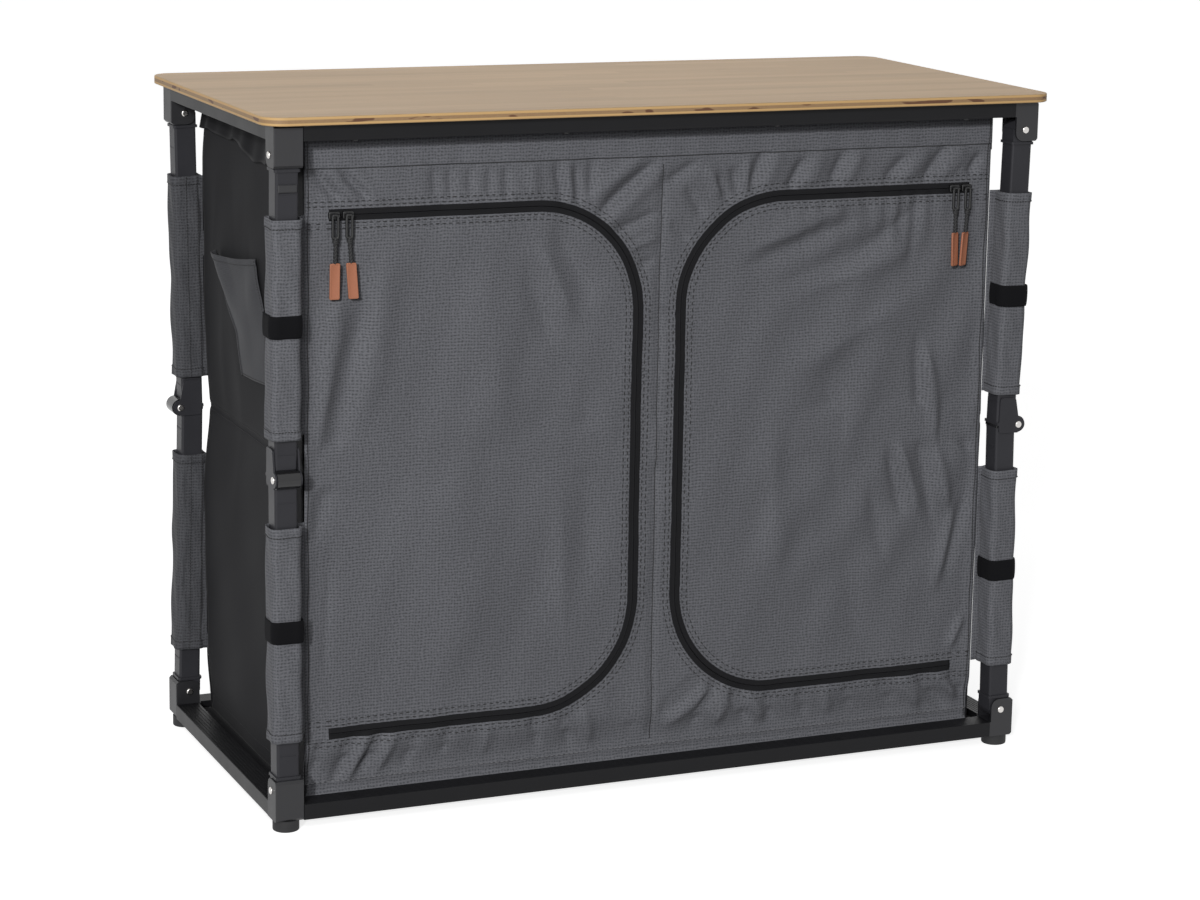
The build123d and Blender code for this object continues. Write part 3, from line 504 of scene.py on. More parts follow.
# Folds of the front, as x and z of both ends, width and height in millimetres.
# A negative height is a valley.
FRONT_FOLDS = (
    ((-413, 735, -377, 692), 7, -3.2), ((-398, 736, -362, 694), 7, 2.6),
    ((-383, 734, -350, 701), 6, -2.6), ((-371, 738, -340, 702), 6, 1.8),
    ((-276, 733, -274, 701), 7, -1.4), ((-257, 732, -255, 700), 6, -1.2),
    ((-234, 732, -232, 700), 7, -1.5), ((-211, 732, -210, 699), 6, -1.2),
    ((-191, 732, -189, 697), 7, -1.6), ((-160, 733, -156, 697), 8, 1.6),
    ((-130, 735, -122, 689), 7, -2.4), ((-107, 731, -103, 688), 7, -2.2),
    ((-118, 733, -112, 689), 6, 1.8), ((-87, 736, -88, 685), 8, -2.2),
    ((-12, 729, -77, 676), 8, -4.0), ((-2, 722, -66, 664), 8, 3.2), ((-30, 735, -92, 690), 8, 2.6),
    ((-8, 673, -58, 653), 7, -2.2), ((-7, 620, -27, 613), 6, -1.6), ((-6, 644, -40, 634), 6, 1.4),
    ((4, 560, 24, 552), 5, -1.2), ((-129, 661, -87, 578), 15, -3.0),
    ((-163, 620, -133, 530), 16, -2.6), ((-146, 640, -108, 556), 14, 2.2),
    ((-356, 585, -389, 433), 15, -4.2), ((-384, 600, -408, 430), 14, 3.0),
    ((-385, 440, -411, 330), 13, -3.2), ((-330, 640, -352, 470), 26, 2.6),
    ((-212, 600, -190, 420), 40, 2.4), ((-250, 380, -235, 180), 55, 3.0),
    ((-90, 480, -84, 250), 22, -1.6), ((-120, 360, -112, 180), 22, 1.6),
    ((-395, 300, -402, 160), 10, -1.2), ((-368, 90, -391, 39), 7, -4.0),
    ((-350, 92, -376, 42), 8, 3.4), ((-334, 92, -359, 50), 7, -3.4), ((-318, 92, -338, 48), 8, 2.4),
    ((-290, 90, -308, 50), 8, -1.8), ((-252, 92, -260, 62), 5, -2.6),
    ((-205, 90, -210, 52), 9, 1.4), ((-151, 92, -143, 57), 7, -2.0),
    ((-112, 88, -102, 50), 7, -2.4), ((-88, 96, -76, 52), 8, 2.0), ((-50, 110, -20, 60), 10, -2.2),
    ((-408, 88, -416, 50), 6, -2.6), ((127, 739, 111, 697), 8, -3.2),
    ((145, 735, 130, 700), 8, 2.8), ((179, 728, 159, 694), 8, -3.4), ((200, 733, 183, 698), 9, 2.8),
    ((231, 733, 214, 698), 8, -3.0), ((252, 733, 234, 700), 9, 2.4),
    ((312, 726, 285, 698), 9, -3.2), ((338, 732, 308, 700), 9, 3.0),
    ((365, 736, 335, 696), 8, -3.2), ((388, 734, 362, 700), 8, 2.6),
    ((411, 726, 393, 696), 7, -3.4), ((89, 720, 96, 686), 8, -3.0), ((106, 728, 104, 692), 7, 2.4),
    ((69, 712, 85, 680), 8, -2.8), ((42, 729, 3, 706), 8, -2.4), ((56, 722, 74, 690), 7, 2.4),
    ((30, 700, 52, 668), 8, -1.8), ((12, 660, 34, 640), 7, -1.4), ((113, 606, 243, 653), 15, -3.0),
    ((120, 626, 236, 672), 14, 2.4), ((154, 582, 307, 636), 16, -2.4),
    ((190, 570, 330, 620), 15, 1.8), ((250, 610, 330, 668), 12, -1.8),
    ((330, 676, 322, 600), 9, -1.6), ((300, 680, 296, 620), 9, 1.2),
    ((180, 480, 330, 560), 24, 2.0), ((337, 500, 346, 377), 7, -4.2),
    ((350, 496, 366, 384), 9, 4.0), ((382, 418, 413, 367), 8, -3.4),
    ((304, 372, 323, 298), 8, -3.6), ((318, 380, 344, 300), 9, 3.2),
    ((345, 384, 366, 281), 8, -3.4), ((368, 372, 388, 296), 9, 3.0),
    ((410, 309, 388, 217), 9, -3.0), ((396, 300, 372, 200), 10, 2.6),
    ((280, 330, 300, 240), 12, -1.8), ((220, 480, 235, 330), 24, -1.8),
    ((150, 400, 160, 220), 26, 2.2), ((250, 250, 270, 130), 26, -1.6),
    ((412, 160, 396, 122), 7, 2.4), ((12, 79, 62, 117), 9, -2.8), ((22, 66, 78, 104), 8, 2.4),
    ((67, 82, 84, 115), 8, -2.6), ((52, 56, 72, 96), 8, -2.2), ((84, 58, 96, 96), 8, 2.2),
    ((103, 96, 126, 56), 8, -3.0), ((124, 92, 146, 56), 8, 2.4), ((150, 90, 157, 55), 7, -2.0),
    ((193, 89, 202, 57), 8, -1.8), ((226, 90, 234, 56), 8, 1.4), ((255, 87, 262, 59), 7, -1.6),
    ((301, 90, 320, 63), 8, -2.0), ((330, 92, 356, 50), 8, 2.8), ((353, 93, 392, 45), 8, -3.4),
    ((376, 93, 410, 55), 7, 2.6), ((398, 92, 418, 60), 6, -2.4),
)
FOLD_NARROW = 0.78
FOLD_DEEP = 2.7

# How far the front may stand out or lie back anywhere, and where something passes close to it
OUT_LIMIT = 0.004
BACK_LIMIT = 0.009
TAG_LIMIT = 0.003
TRACK_LIMIT = 0.0004
SHELF_LIMIT = -0.003
FOLDED_SHELF = 0.0935


# Brings what lies beyond a limit back to it, by a share from 0 to 1
def limited(height, limit, share):
    beyond = height > limit if limit > 0 else height < limit
    return np.where(beyond, height * (1 - share) + limit * share, height)


# How far the front cloth stands out from its plane, in metres
def front_relief(x, z, strength):
    height = np.zeros_like(x)
    for line, width, rise in FRONT_FOLDS:
        height += fold(x, z, line, width * FOLD_NARROW, rise * FOLD_DEEP)
    # Broad and fine unevenness, and the centre seam that draws in
    height += 1.5 * MM * np.sin(x * 37 + np.sin(z * 11) * 1.7) * np.sin(z * 17 + 1.3 + np.sin(x * 13))
    height += 0.7 * MM * np.sin(x * 96 + z * 31) * np.sin(z * 71 - x * 22 + 0.6)
    seam = 2.4 * MM * np.exp(-((x + 0.0006) / 0.0045) ** 2)
    height -= seam * smooth_step(0.045, 0.06, z) * smooth_step(0.735, 0.72, z)
    # Flat at the side seams and at the sliders, calmer at both ends and past the hems
    edge = smooth_step(SIDE_PLANE, SEAM_X - 0.012, np.abs(x))
    for place in SLIDER_PLACES:
        near = np.hypot((np.abs(x) - place) / 0.02, (z - ZIP_HIGH) / 0.016)
        edge = edge * smooth_step(0.6, 1.6, near)
    hang = smooth_step(HEM_HIGH - 0.0005, HEM_HIGH + 0.0005, z)
    below = smooth_step(HEM_LOW + 0.0005, HEM_LOW - 0.0005, z)
    calm = smooth_step(0.768, 0.748, z) * smooth_step(0.026, 0.036, z)
    # Puckers beside the zips
    near = np.abs(zip_distance(x, z))
    wave = np.sin((x + z) * 2 * math.pi / 0.0165 + 2.2 * np.sin(x * 31 - z * 19))
    pucker = np.exp(-(((near - 0.013) / 0.011) ** 2)) * wave
    height += 0.65 * MM * pucker * smooth_step(0.004, 0.008, near)
    # The right door's short folds under its zip, and its broad slanting ones
    drop = smooth_step(0.6, 0.672, z) * smooth_step(0.13, 0.2, x)
    wave = np.sin(x * 2 * math.pi / 0.024 + 1.5 * np.sin(x * 40) + z * 9)
    height += 1.0 * MM * drop * wave * (z < ZIP_HIGH)
    bands = smooth_step(0.08, 0.2, x) * smooth_step(0.14, 0.3, z) * smooth_step(0.68, 0.6, z)
    wave = np.sin((x * 0.8 - z * 0.6) * 2 * math.pi / 0.072 + 1.1 * np.sin(z * 14))
    height += 1.5 * MM * bands * wave
    height = height * strength * edge * (0.25 + 0.75 * calm) * (1 - 0.75 * hang) * (1 - 0.7 * below)
    # Both hems are thicker than the cloth between them, and the low one is ribbed
    height += 1.8 * MM * hang * smooth_step(FADE_HIGH, 0.774, z)
    height += 1.6 * MM * smooth_step(0.052, HEM_LOW, z) * (1 - below)
    ribs = 0.3 * MM * np.sin(x * 2 * math.pi / 0.0061 + 0.8 * np.sin(x * 70))
    height += below * (ribs + (z - HEM_LOW) * 0.12)
    height += 0.5 * MM * hang * np.sin(x * 140 + 2 * np.sin(x * 23)) * smooth_step(0.775, 0.745, z)
    # The doors hang a little behind the plane, and the cloth keeps clear of the tags and the track
    height -= 3.0 * MM * smooth_step(0.08, 0.14, z) * smooth_step(0.66, 0.6, z) * edge
    tags = smooth_step(0.03, 0.018, np.abs(np.abs(x) - sum(SLIDER_PLACES) / 2))
    height = limited(height, TAG_LIMIT, tags * smooth_step(0.57, 0.6, z))
    track = smooth_step(0.013, 0.008, np.abs(z - ZIP_HIGH)) * smooth_step(0.13, 0.16, np.abs(x))
    height = limited(height, TRACK_LIMIT, track)
    # The band above the low hem is drawn in
    height -= 6 * MM * smooth_step(0.085, 0.05, z) * smooth_step(0.024, 0.034, z)
    back = BACK_LIMIT * np.tanh(height / BACK_LIMIT)
    height = np.where(height < 0, back, OUT_LIMIT * np.tanh(height / OUT_LIMIT))
    # Clear of the shelf, where it is and where it goes as the cupboard folds
    shelf = smooth_step(0.034, 0.016, np.abs(z - SHELF_HEIGHT))
    shelf = shelf + smooth_step(0.026, 0.019, np.abs(z - FOLDED_SHELF))
    return limited(height, SHELF_LIMIT, shelf)


# Signed distance from a door's zip line, negative inside the door
def zip_distance(x, z):
    centre_x = (ZIP_INNER + 1.0) / 2
    half_x = (1.0 - ZIP_INNER) / 2 - ZIP_RADIUS
    half_z = (ZIP_HIGH - ZIP_LOW) / 2 - ZIP_RADIUS
    qx = np.abs(np.abs(x) - centre_x) - half_x
    qz = np.abs(z - (ZIP_HIGH + ZIP_LOW) / 2) - half_z
    outside = np.hypot(np.maximum(qx, 0), np.maximum(qz, 0))
    return outside + np.minimum(np.maximum(qx, qz), 0) - ZIP_RADIUS


# Distance between the points of the front's mesh and of the zips' lines
CLOTH_STEP = 0.003


# Points along a door's zip line, moved outwards by offset, from one outer end to the other
def zip_line(offset, reach):
    low, high = ZIP_LOW - offset, ZIP_HIGH + offset
    radius = ZIP_RADIUS + offset
    inner = ZIP_INNER - offset
    arc = np.linspace(0, math.pi / 2, max(8, int(radius * math.pi / 2 / CLOTH_STEP)))
    runs = max(2, int((reach - inner - radius) / CLOTH_STEP))
    falls = max(2, int((high - low - 2 * radius) / CLOTH_STEP))
    top = np.stack([np.linspace(reach, inner + radius, runs), np.full(runs, high)], axis=1)
    sine, cosine = radius * np.sin(arc), radius * np.cos(arc)
    bend = np.stack([inner + radius - sine, high - radius + cosine], axis=1)
    fall = np.stack([np.full(falls, inner), np.linspace(high - radius, low + radius, falls)], axis=1)
    turn = np.stack([inner + radius - cosine, low + radius - sine], axis=1)
    run = np.stack([np.linspace(inner + radius, reach, runs), np.full(runs, low)], axis=1)
    return np.concatenate([top[:-1], bend[:-1], fall[:-1], turn[:-1], run])


def front_point(x, z, strength, lift):
    return np.stack([x, -FRONT_PLANE - front_relief(x, z, strength) - lift, z], axis=-1)


# The cloth and what is sewn to it go on a body, each with a mesh of its own
def squash_cloth(thing, body):
    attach(thing, body)
    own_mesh(thing)


# A geometry-nodes tree that sets a stitch at each pitch along the curves it is given
def stitch_tree():
    tree = bpy.data.node_groups.new("Stitches", "GeometryNodeTree")
    face = tree.interface
    face.new_socket("Geometry", in_out="INPUT", socket_type="NodeSocketGeometry")
    for label, value in (("Pitch", 0.005), ("Length", 0.0035), ("Width", 0.0009)):
        socket = face.new_socket(label, in_out="INPUT", socket_type="NodeSocketFloat")
        socket.default_value = value
    face.new_socket("Material", in_out="INPUT", socket_type="NodeSocketMaterial")
    face.new_socket("Geometry", in_out="OUTPUT", socket_type="NodeSocketGeometry")
    start = tree.nodes.new("NodeGroupInput")
    end = tree.nodes.new("NodeGroupOutput")
    curve = add_node(tree, "GeometryNodeMeshToCurve", Mesh=start.outputs["Geometry"])
    even = add_node(
        tree, "GeometryNodeResampleCurve", {"mode": "LENGTH"},
        Curve=curve.outputs[0], Length=start.outputs["Pitch"],
    )
    tangent = tree.nodes.new("GeometryNodeInputTangent")
    turn = add_node(tree, "FunctionNodeAlignRotationToVector", {"axis": "X"}, Vector=tangent.outputs[0])
    ball = add_node(tree, "GeometryNodeMeshUVSphere", Segments=6, Rings=4, Radius=0.5)
    size = add_node(
        tree, "ShaderNodeCombineXYZ",
        X=start.outputs["Length"], Y=start.outputs["Width"], Z=start.outputs["Width"],
    )
    place = add_node(
        tree, "GeometryNodeInstanceOnPoints", Points=even.outputs[0], Instance=ball.outputs[0],
        Rotation=turn.outputs[0], Scale=size.outputs[0],
    )
    real = add_node(tree, "GeometryNodeRealizeInstances", Geometry=place.outputs[0])
    paint = add_node(
        tree, "GeometryNodeSetMaterial", Geometry=real.outputs[0], Material=start.outputs["Material"]
    )
    tree.links.new(paint.outputs[0], end.inputs[0])
    return tree


# Pitch, length and width of the stitches on the seams that don't follow the panel's sizes
SEAM_STITCH = (0.0028, 0.0034, 0.0012)
LOW_HEM_STITCH = (0.0062, 0.0046, 0.0009)
HIGH_HEM_STITCH = (0.0028, 0.0034, 0.0013)
POCKET_STITCH = (0.0032, 0.0026, 0.0009)
SIDE_STITCH = (0.0036, 0.0026, 0.0008)
BACK_STITCH = (0.0036, 0.0026, 0.0009)
SLEEVE_STITCH = (0.0035, 0.0031, 0.0012)


# Runs the stitch tree on rows of points and leaves a plain mesh
def stitched(name, rows, sizes=None, thread="Black thread"):
    fabric = bpy.context.scene.cupboard_fabric
    pitch, length, width = sizes or (fabric.stitch_pitch, fabric.stitch_length, fabric.stitch_width)
    points = np.concatenate(rows)
    edges = []
    start = 0
    for row in rows:
        edges += [(start + i, start + i + 1) for i in range(len(row) - 1)]
        start += len(row)
    mesh = bpy.data.meshes.new(name + "_rows")
    mesh.from_pydata([tuple(p) for p in points], edges, [])
    source = bpy.data.objects.new(name + "_rows", mesh)
    bpy.context.collection.objects.link(source)
    tree = bpy.data.node_groups.get("Stitches") or stitch_tree()
    modifier = source.modifiers.new("Stitches", "NODES")
    modifier.node_group = tree
    values = {"Pitch": pitch, "Length": length, "Width": width, "Material": finish(thread)}
    for item in tree.interface.items_tree:
        if item.item_type == "SOCKET" and item.in_out == "INPUT" and item.name in values:
            modifier[item.identifier] = values[item.name]
    source.update_tag()
    graph = bpy.context.evaluated_depsgraph_get()
    result = bpy.data.meshes.new_from_object(source.evaluated_get(graph), depsgraph=graph)
    result.name = name
    bpy.data.objects.remove(source)
    bpy.data.meshes.remove(mesh)
    if len(result.polygons) == 0:
        raise RuntimeError(f"{name}: the stitch tree made nothing")
    thing = bpy.data.objects.new(name, result)
    bpy.context.collection.objects.link(thing)
    return thing


# The finish of each hard piece: the first row whose words are in its name
HARD_FINISHES = (
    ("screws", "Black zip metal"), ("tabletop", "Bamboo"), ("rail", "Black aluminium"),
    ("_tube", "Leg aluminium"), ("knee_bracket", "Leg aluminium"), ("corners", "Black moulding"),
    ("knuckle", "Black knuckle"), ("rivets", "Rivet steel"), ("feet", "Foot rubber"),
    ("floor_board", "Board"), ("zip_slider", "Black zip metal"), ("zip_pull", "Black zip metal"),
)

# The raised catch on the front-left leg: its middle, its half sizes, and its levels and their inset
CATCH_MIDDLE = (-0.4527, -0.2157, 0.7215)
CATCH_HALF = (0.0105, 0.0042)
CATCH_LEVELS = ((0.0, 0.0), (0.0012, 0.0), (0.0018, 0.0008))


# The hard pieces keep their CAD shapes and get a finish each
class CUPBOARD_OT_hard_parts(bpy.types.Operator):
    """Make the finishes and give the frame's hard pieces theirs"""

    bl_idname = "cupboard.hard_parts"
    bl_label = "Frame, legs and top"

    def execute(self, context):
        colours = context.scene.cupboard_colours
        front, metal = tuple(colours.front_cloth), tuple(colours.metalwork)
        pitch = context.scene.cupboard_fabric.ripstop_pitch
        coated_metal("Black aluminium", metal)
        moulded_plastic("Black moulding", (0.011, 0.011, 0.013), 0.5, 0.35)
        moulded_plastic("Black knuckle", (0.01, 0.01, 0.011), 0.18, 0.05)
        moulded_plastic("Foot rubber", (0.012, 0.012, 0.013), 0.75, 0.4)
        moulded_plastic("Black zip metal", (0.002, 0.002, 0.0025), 0.48, 0.1)
        coated_metal("Leg aluminium", shade(metal, 4.6))
        steel("Rivet steel")
        bamboo("Bamboo", tuple(colours.bamboo))
        board_finish("Board")
        ripstop("Grey ripstop", front, pitch, 0.5)
        # The front ripstop darkened for the back sleeves: painted shade, as the back sleeves lie in
        # shadow behind the front legs
        ripstop("Painted shade ripstop", shade(front, 0.55), pitch, 0.5)
        plain_cloth("Dark cloth", tuple(colours.side_cloth))
        ripstop("Pocket cloth", shade(front, 0.46), 0.0021, 0.3)
        hook_and_loop("Hook and loop")
        zip_tape("Zip tape")
        tag_finish("Zip tag", tuple(colours.tag))
        thread_finish("Black thread", (0.006, 0.006, 0.007))
        thread_finish("Grey thread", (0.2, 0.2, 0.21))
        thread_finish("Cord", (0.01, 0.01, 0.011))
        for name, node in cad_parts.items():
            kind = next((kind for words, kind in HARD_FINISHES if words in name), None)
            if kind:
                node.data.materials.clear()
                node.data.materials.append(finish(kind))
        for corner in CORNERS:
            self.steel_pin(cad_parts[f"leg_{corner}_knee_bracket"], leg_matrix(corner, False))
        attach(self.catch(), "leg_fl_upper")
        return {"FINISHED"}

    # The small raised catch on the face of the front-left leg
    def catch(self):
        middle = np.array(CATCH_MIDDLE)
        half_x, half_z = CATCH_HALF
        points = []
        for rise, inset in CATCH_LEVELS:
            for x, z in ((-1, -1), (1, -1), (1, 1), (-1, 1)):
                points.append(middle + np.array([x * (half_x - inset), -rise, z * (half_z - inset)]))
        faces = [[3, 2, 1, 0], [8, 9, 10, 11]]
        for start in (0, 4):
            for i in range(4):
                n = (i + 1) % 4
                faces.append([start + i, start + n, start + 4 + n, start + 4 + i])
        material = [finish("Black moulding")]
        return make_object("leg_fl_catch", np.array(points), faces, None, material, smooth=False)

    # The knee bracket holds its pin as a solid of its own, found by its place on the knee's axis
    def steel_pin(self, node, matrix):
        mesh = node.data
        mesh.materials.append(finish("Rivet steel"))
        points = np.empty(len(mesh.vertices) * 3)
        mesh.vertices.foreach_get("co", points)
        world = np.array(node.matrix_world)
        points = points.reshape(-1, 3) @ world[:3, :3].T + world[:3, 3]
        local = np.linalg.inv(matrix)
        points = points @ local[:3, :3].T + local[:3, 3]
        near = np.hypot(points[:, 1] - KNEE_PIN[0], points[:, 2] - KNEE_PIN[1]) < PIN_REACH
        for face in mesh.polygons:
            if all(near[i] for i in face.vertices):
                face.material_index = 1


# The cloth ends a gap from a zip's line: faces nearer than the cut are left out, and points
# within the reach are drawn to the gap
ZIP_GAP = 0.003
ZIP_CUT = 0.0032
ZIP_REACH = 0.0045

# The stitch rows beside a zip: their distances from its line, and how high they lie on the cloth
ZIP_ROWS = (0.0094, 0.0147)
ROW_LIFT = 0.00025


# The front: the surround, the two doors, the zips between them and every stitch row
class CUPBOARD_OT_front(bpy.types.Operator):
    """Build the front cloth with its doors, zips and seams"""

    bl_idname = "cupboard.front"
    bl_label = "Front, doors and zips"

    # A part of the front: the faces that keep chooses, with their edge drawn to the zip's gap
    def cloth(self, name, keep, strength, thickness):
        across = int(round(2 * SIDE_PLANE / CLOTH_STEP)) + 1
        along = int(round((PANEL_HIGH - PANEL_LOW) / CLOTH_STEP)) + 1
        xs = np.linspace(-SIDE_PLANE, SIDE_PLANE, across)
        door_edge = ZIP_OUTER + np.array((-0.0003, 0.0, 0.0003))
        xs = np.sort(np.concatenate([xs, door_edge, -door_edge]))
        close_rows = np.array((-0.0012, -0.0005, 0.0, 0.0005, 0.0012))
        zs = np.linspace(PANEL_LOW, PANEL_HIGH, along)
        zs = np.sort(np.concatenate([zs, HEM_LOW + close_rows, HEM_HIGH + close_rows]))
        x, z = (side.ravel() for side in np.meshgrid(xs, zs))
        faces = grid_faces(len(xs), len(zs))
        faces = faces[keep(x[faces].mean(axis=1), z[faces].mean(axis=1))]
        x, faces, z = drop_unused(x, faces, z)
        near = zip_distance(x, z)
        nudge = 1e-5
        gx = (zip_distance(x + nudge, z) - near) / nudge
        gz = (zip_distance(x, z + nudge) - near) / nudge
        close = (np.abs(x) < ZIP_OUTER + 0.0016) & (np.abs(near) < ZIP_REACH)
        shift = np.where(close, np.where(near > 0, ZIP_GAP, -ZIP_GAP) - near, 0.0)
        x, z = x + gx * shift, z + gz * shift
        outer = front_point(x, z, strength, 0.0)
        inner = outer + np.array([0, thickness, 0])
        points, faces, rim = closed_sheet(outer, inner, faces)
        cloth = np.concatenate([np.stack([x, z], axis=1)] * 2)
        return make_object(name, points, faces, cloth, [finish("Grey ripstop")], rim=rim)

    # Half a zip: its tape, with a raised ridge along the inner edge. The sign is -1 on the door
    def tape(self, name, side, sign, strength, width):
        line = zip_line(0.0, ZIP_OUTER)
        ahead = np.gradient(line, axis=0)
        ahead /= np.linalg.norm(ahead, axis=1)[:, None]
        out = np.stack([-ahead[:, 1], ahead[:, 0]], axis=1)
        middle = np.array([0.25, (ZIP_LOW + ZIP_HIGH) / 2])
        if ((line[len(line) // 2] - middle) @ out[len(line) // 2]) < 0:
            out = -out
        half = width / 2
        profile = (
            (0.00022, -0.0006), (0.00024, 0.0006), (0.0006, 0.00098), (0.0013, 0.00095),
            (0.0018, 0.0006), (0.0024, 0.0005), (half - 0.001, 0.0005),
            (half - 0.0004, 0.0004), (half, 0.0001), (half, -0.0006),
        )
        rings = []
        cloth = []
        run = np.concatenate([[0], np.cumsum(np.linalg.norm(np.diff(line, axis=0), axis=1))])
        for offset, lift in profile:
            place = line + out * (offset * sign)
            rings.append(front_point(side * place[:, 0], place[:, 1], strength, lift))
            cloth.append(np.stack([run, np.full(len(run), offset)], axis=1))
        count = len(line)
        points = np.concatenate(rings)
        ring = len(profile)
        faces = []
        for k in range(ring):
            n = (k + 1) % ring
            for i in range(count - 1):
                faces.append((k * count + i, k * count + i + 1, n * count + i + 1, n * count + i))
        faces.append([k * count for k in range(ring)])
        faces.append([k * count + count - 1 for k in reversed(range(ring))])
        if side * sign > 0:
            faces = [face[::-1] for face in faces]
        return make_object(name, points, faces, np.concatenate(cloth), [finish("Zip tape")])

    def zip_rows(self, side, sign, strength):
        rows = []
        for offset in ZIP_ROWS:
            line = zip_line(sign * offset, SEAM_X - 0.001)
            if sign < 0:
                line = line[line[:, 0] < ZIP_OUTER - 0.001]
            rows.append(front_point(side * line[:, 0], line[:, 1], strength, ROW_LIFT))
        return rows

    def execute(self, context):
        fabric = context.scene.cupboard_fabric
        strength, thickness = fabric.fold_strength, fabric.sheet_thickness
        surround = self.cloth(
            "front_cloth",
            lambda x, z: (zip_distance(x, z) > ZIP_CUT) | (np.abs(x) > ZIP_OUTER),
            strength, thickness,
        )
        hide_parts("front_surround")
        squash_cloth(surround, "base")
        extras = []
        for label, side in (("left", -1), ("right", 1)):
            door = self.cloth(
                f"door_{label}_cloth",
                lambda x, z, side=side: (
                    (zip_distance(x, z) < -ZIP_CUT) & (x * side > 0) & (np.abs(x) < ZIP_OUTER)
                ),
                strength, thickness,
            )
            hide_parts(f"door_{label}")
            squash_cloth(door, f"door_{label}")
            door_tape = self.tape(f"zip_{label}_door_tape", side, -1, strength, fabric.tape_width)
            squash_cloth(door_tape, f"door_{label}")
            frame_tape = self.tape(f"zip_{label}_frame_tape", side, 1, strength, fabric.tape_width)
            squash_cloth(frame_tape, "base")
            door_rows = stitched(f"door_{label}_stitches", self.zip_rows(side, -1, strength))
            squash_cloth(door_rows, f"door_{label}")
            rows = self.zip_rows(side, 1, strength)
            x = side * np.linspace(ZIP_OUTER + 0.001, SEAM_X - 0.001, 9)
            for height in (*(ZIP_HIGH - row for row in ZIP_ROWS), *(ZIP_LOW + row for row in ZIP_ROWS)):
                rows.append(front_point(x, np.full(9, height), strength, ROW_LIFT))
            frame_rows = stitched(f"zip_{label}_stitches", rows)
            squash_cloth(frame_rows, "base")
            extras += [frame_tape, frame_rows]
        z = np.linspace(0.05, 0.727, 220)
        seams = [front_point(np.full(len(z), -0.0003), z, strength, 0.0003)]
        z = np.linspace(0.032, 0.77, 240)
        for side in (-1, 1):
            seams.append(front_point(side * (SEAM_X + 0.0006 * np.sin(z * 60)), z, strength, 0.0003))
        seam_rows = stitched("front_seams", seams, SEAM_STITCH)
        squash_cloth(seam_rows, "base")
        x = np.linspace(-SEAM_X, SEAM_X, 280)
        low_row = front_point(x, np.full(len(x), HEM_LOW + 0.0006), strength, 0.0001)
        high_row = front_point(x, np.full(len(x), HEM_HIGH - 0.0006), strength, 0.0002)
        hem_low = stitched("front_low_hem", [low_row], LOW_HEM_STITCH, "Grey thread")
        squash_cloth(hem_low, "base")
        hem_high = stitched("front_high_hem", [high_row], HIGH_HEM_STITCH)
        squash_cloth(hem_high, "base")
        return {"FINISHED"}


# Half a side cloth's depth, the two patterns of folds, and how far the back may stand out
SIDE_HALF = 0.1857
SIDE_SEED = 1.0
BACK_SEED = 2.0
BACK_OUT_LIMIT = 0.0008


# How far a side cloth stands out, from its place across the panel and its height
def side_relief(across, z, seed):
    height = 1.4 * MM * np.sin(across * 21 + seed) * np.sin(z * 13 + 0.7 * seed)
    height += 0.7 * MM * np.sin(across * 47 + z * 19 + seed) * np.sin(z * 37 + seed)
    height += 2.0 * MM * smooth_step(0.05, 0.35, z) * smooth_step(0.75, 0.4, z)
    height -= 1.8 * MM * np.exp(-((z - SHELF_HEIGHT) / 0.004) ** 2)
    height += fold_rows(across, z, seed)
    calm = smooth_step(FADE_HIGH, 0.765, z) * smooth_step(0.023, 0.034, z)
    return np.clip(height * (0.15 + 0.85 * calm), -0.005, 0.0055)


# Slanting folds at random places, the same ones at each run
def fold_rows(across, z, seed):
    height = np.zeros_like(across)
    random = np.random.default_rng(int(seed * 10) + 3)
    for _ in range(16):
        place = random.uniform(-0.17, 0.17)
        top = random.uniform(0.5, 0.72)
        lean = random.uniform(-40, 40)
        drop = random.uniform(60, 220)
        line = (place * 1000, top * 1000, place * 1000 + lean, top * 1000 - drop)
        height += fold(across, z, line, random.uniform(14, 26), random.uniform(-1.0, 1.0))
    return height


# The cloth bellies out between the rails and the shelf, most at its back edge
def belly(z):
    upper = smooth_step(FADE_HIGH, 0.7, z) * smooth_step(0.41, 0.56, z)
    lower = smooth_step(0.023, 0.1, z) * smooth_step(0.4, 0.28, z)
    waist = np.exp(-(((z - SHELF_HEIGHT) / 0.035) ** 2))
    return 6.0 * MM * upper + 4.5 * MM * lower - 3.0 * MM * waist


# Points of a side cloth and of the back, lifted off it by so much
def side_point(across, z, side, lift):
    out = SIDE_PLANE + side_relief(across, z, SIDE_SEED) + lift
    out = out + belly(z) * smooth_step(-0.15, 0.12, across)
    return np.stack([side * out, across, z], axis=-1)


def back_point(across, z, lift):
    relief = side_relief(across * 0.6, z, BACK_SEED)
    relief = np.where(relief > 0, BACK_OUT_LIMIT * np.tanh(relief / BACK_OUT_LIMIT), relief)
    return np.stack([across * (1 + belly(z) / SIDE_PLANE), FRONT_PLANE + relief + lift, z], axis=-1)


# The height of the flaps' low edge, and the pocket's edges as shares of its height and places
FLAP_LOW = 0.741
POCKET_FRONT = ((0, 0.45, 1), (-0.066, -0.062, -0.030))
POCKET_BACK = ((0, 0.19, 0.36, 0.6, 1), (0.028, 0.037, 0.044, 0.080, 0.114))
POCKET_BOTTOM = 0.475
POCKET_TOP = 0.6155


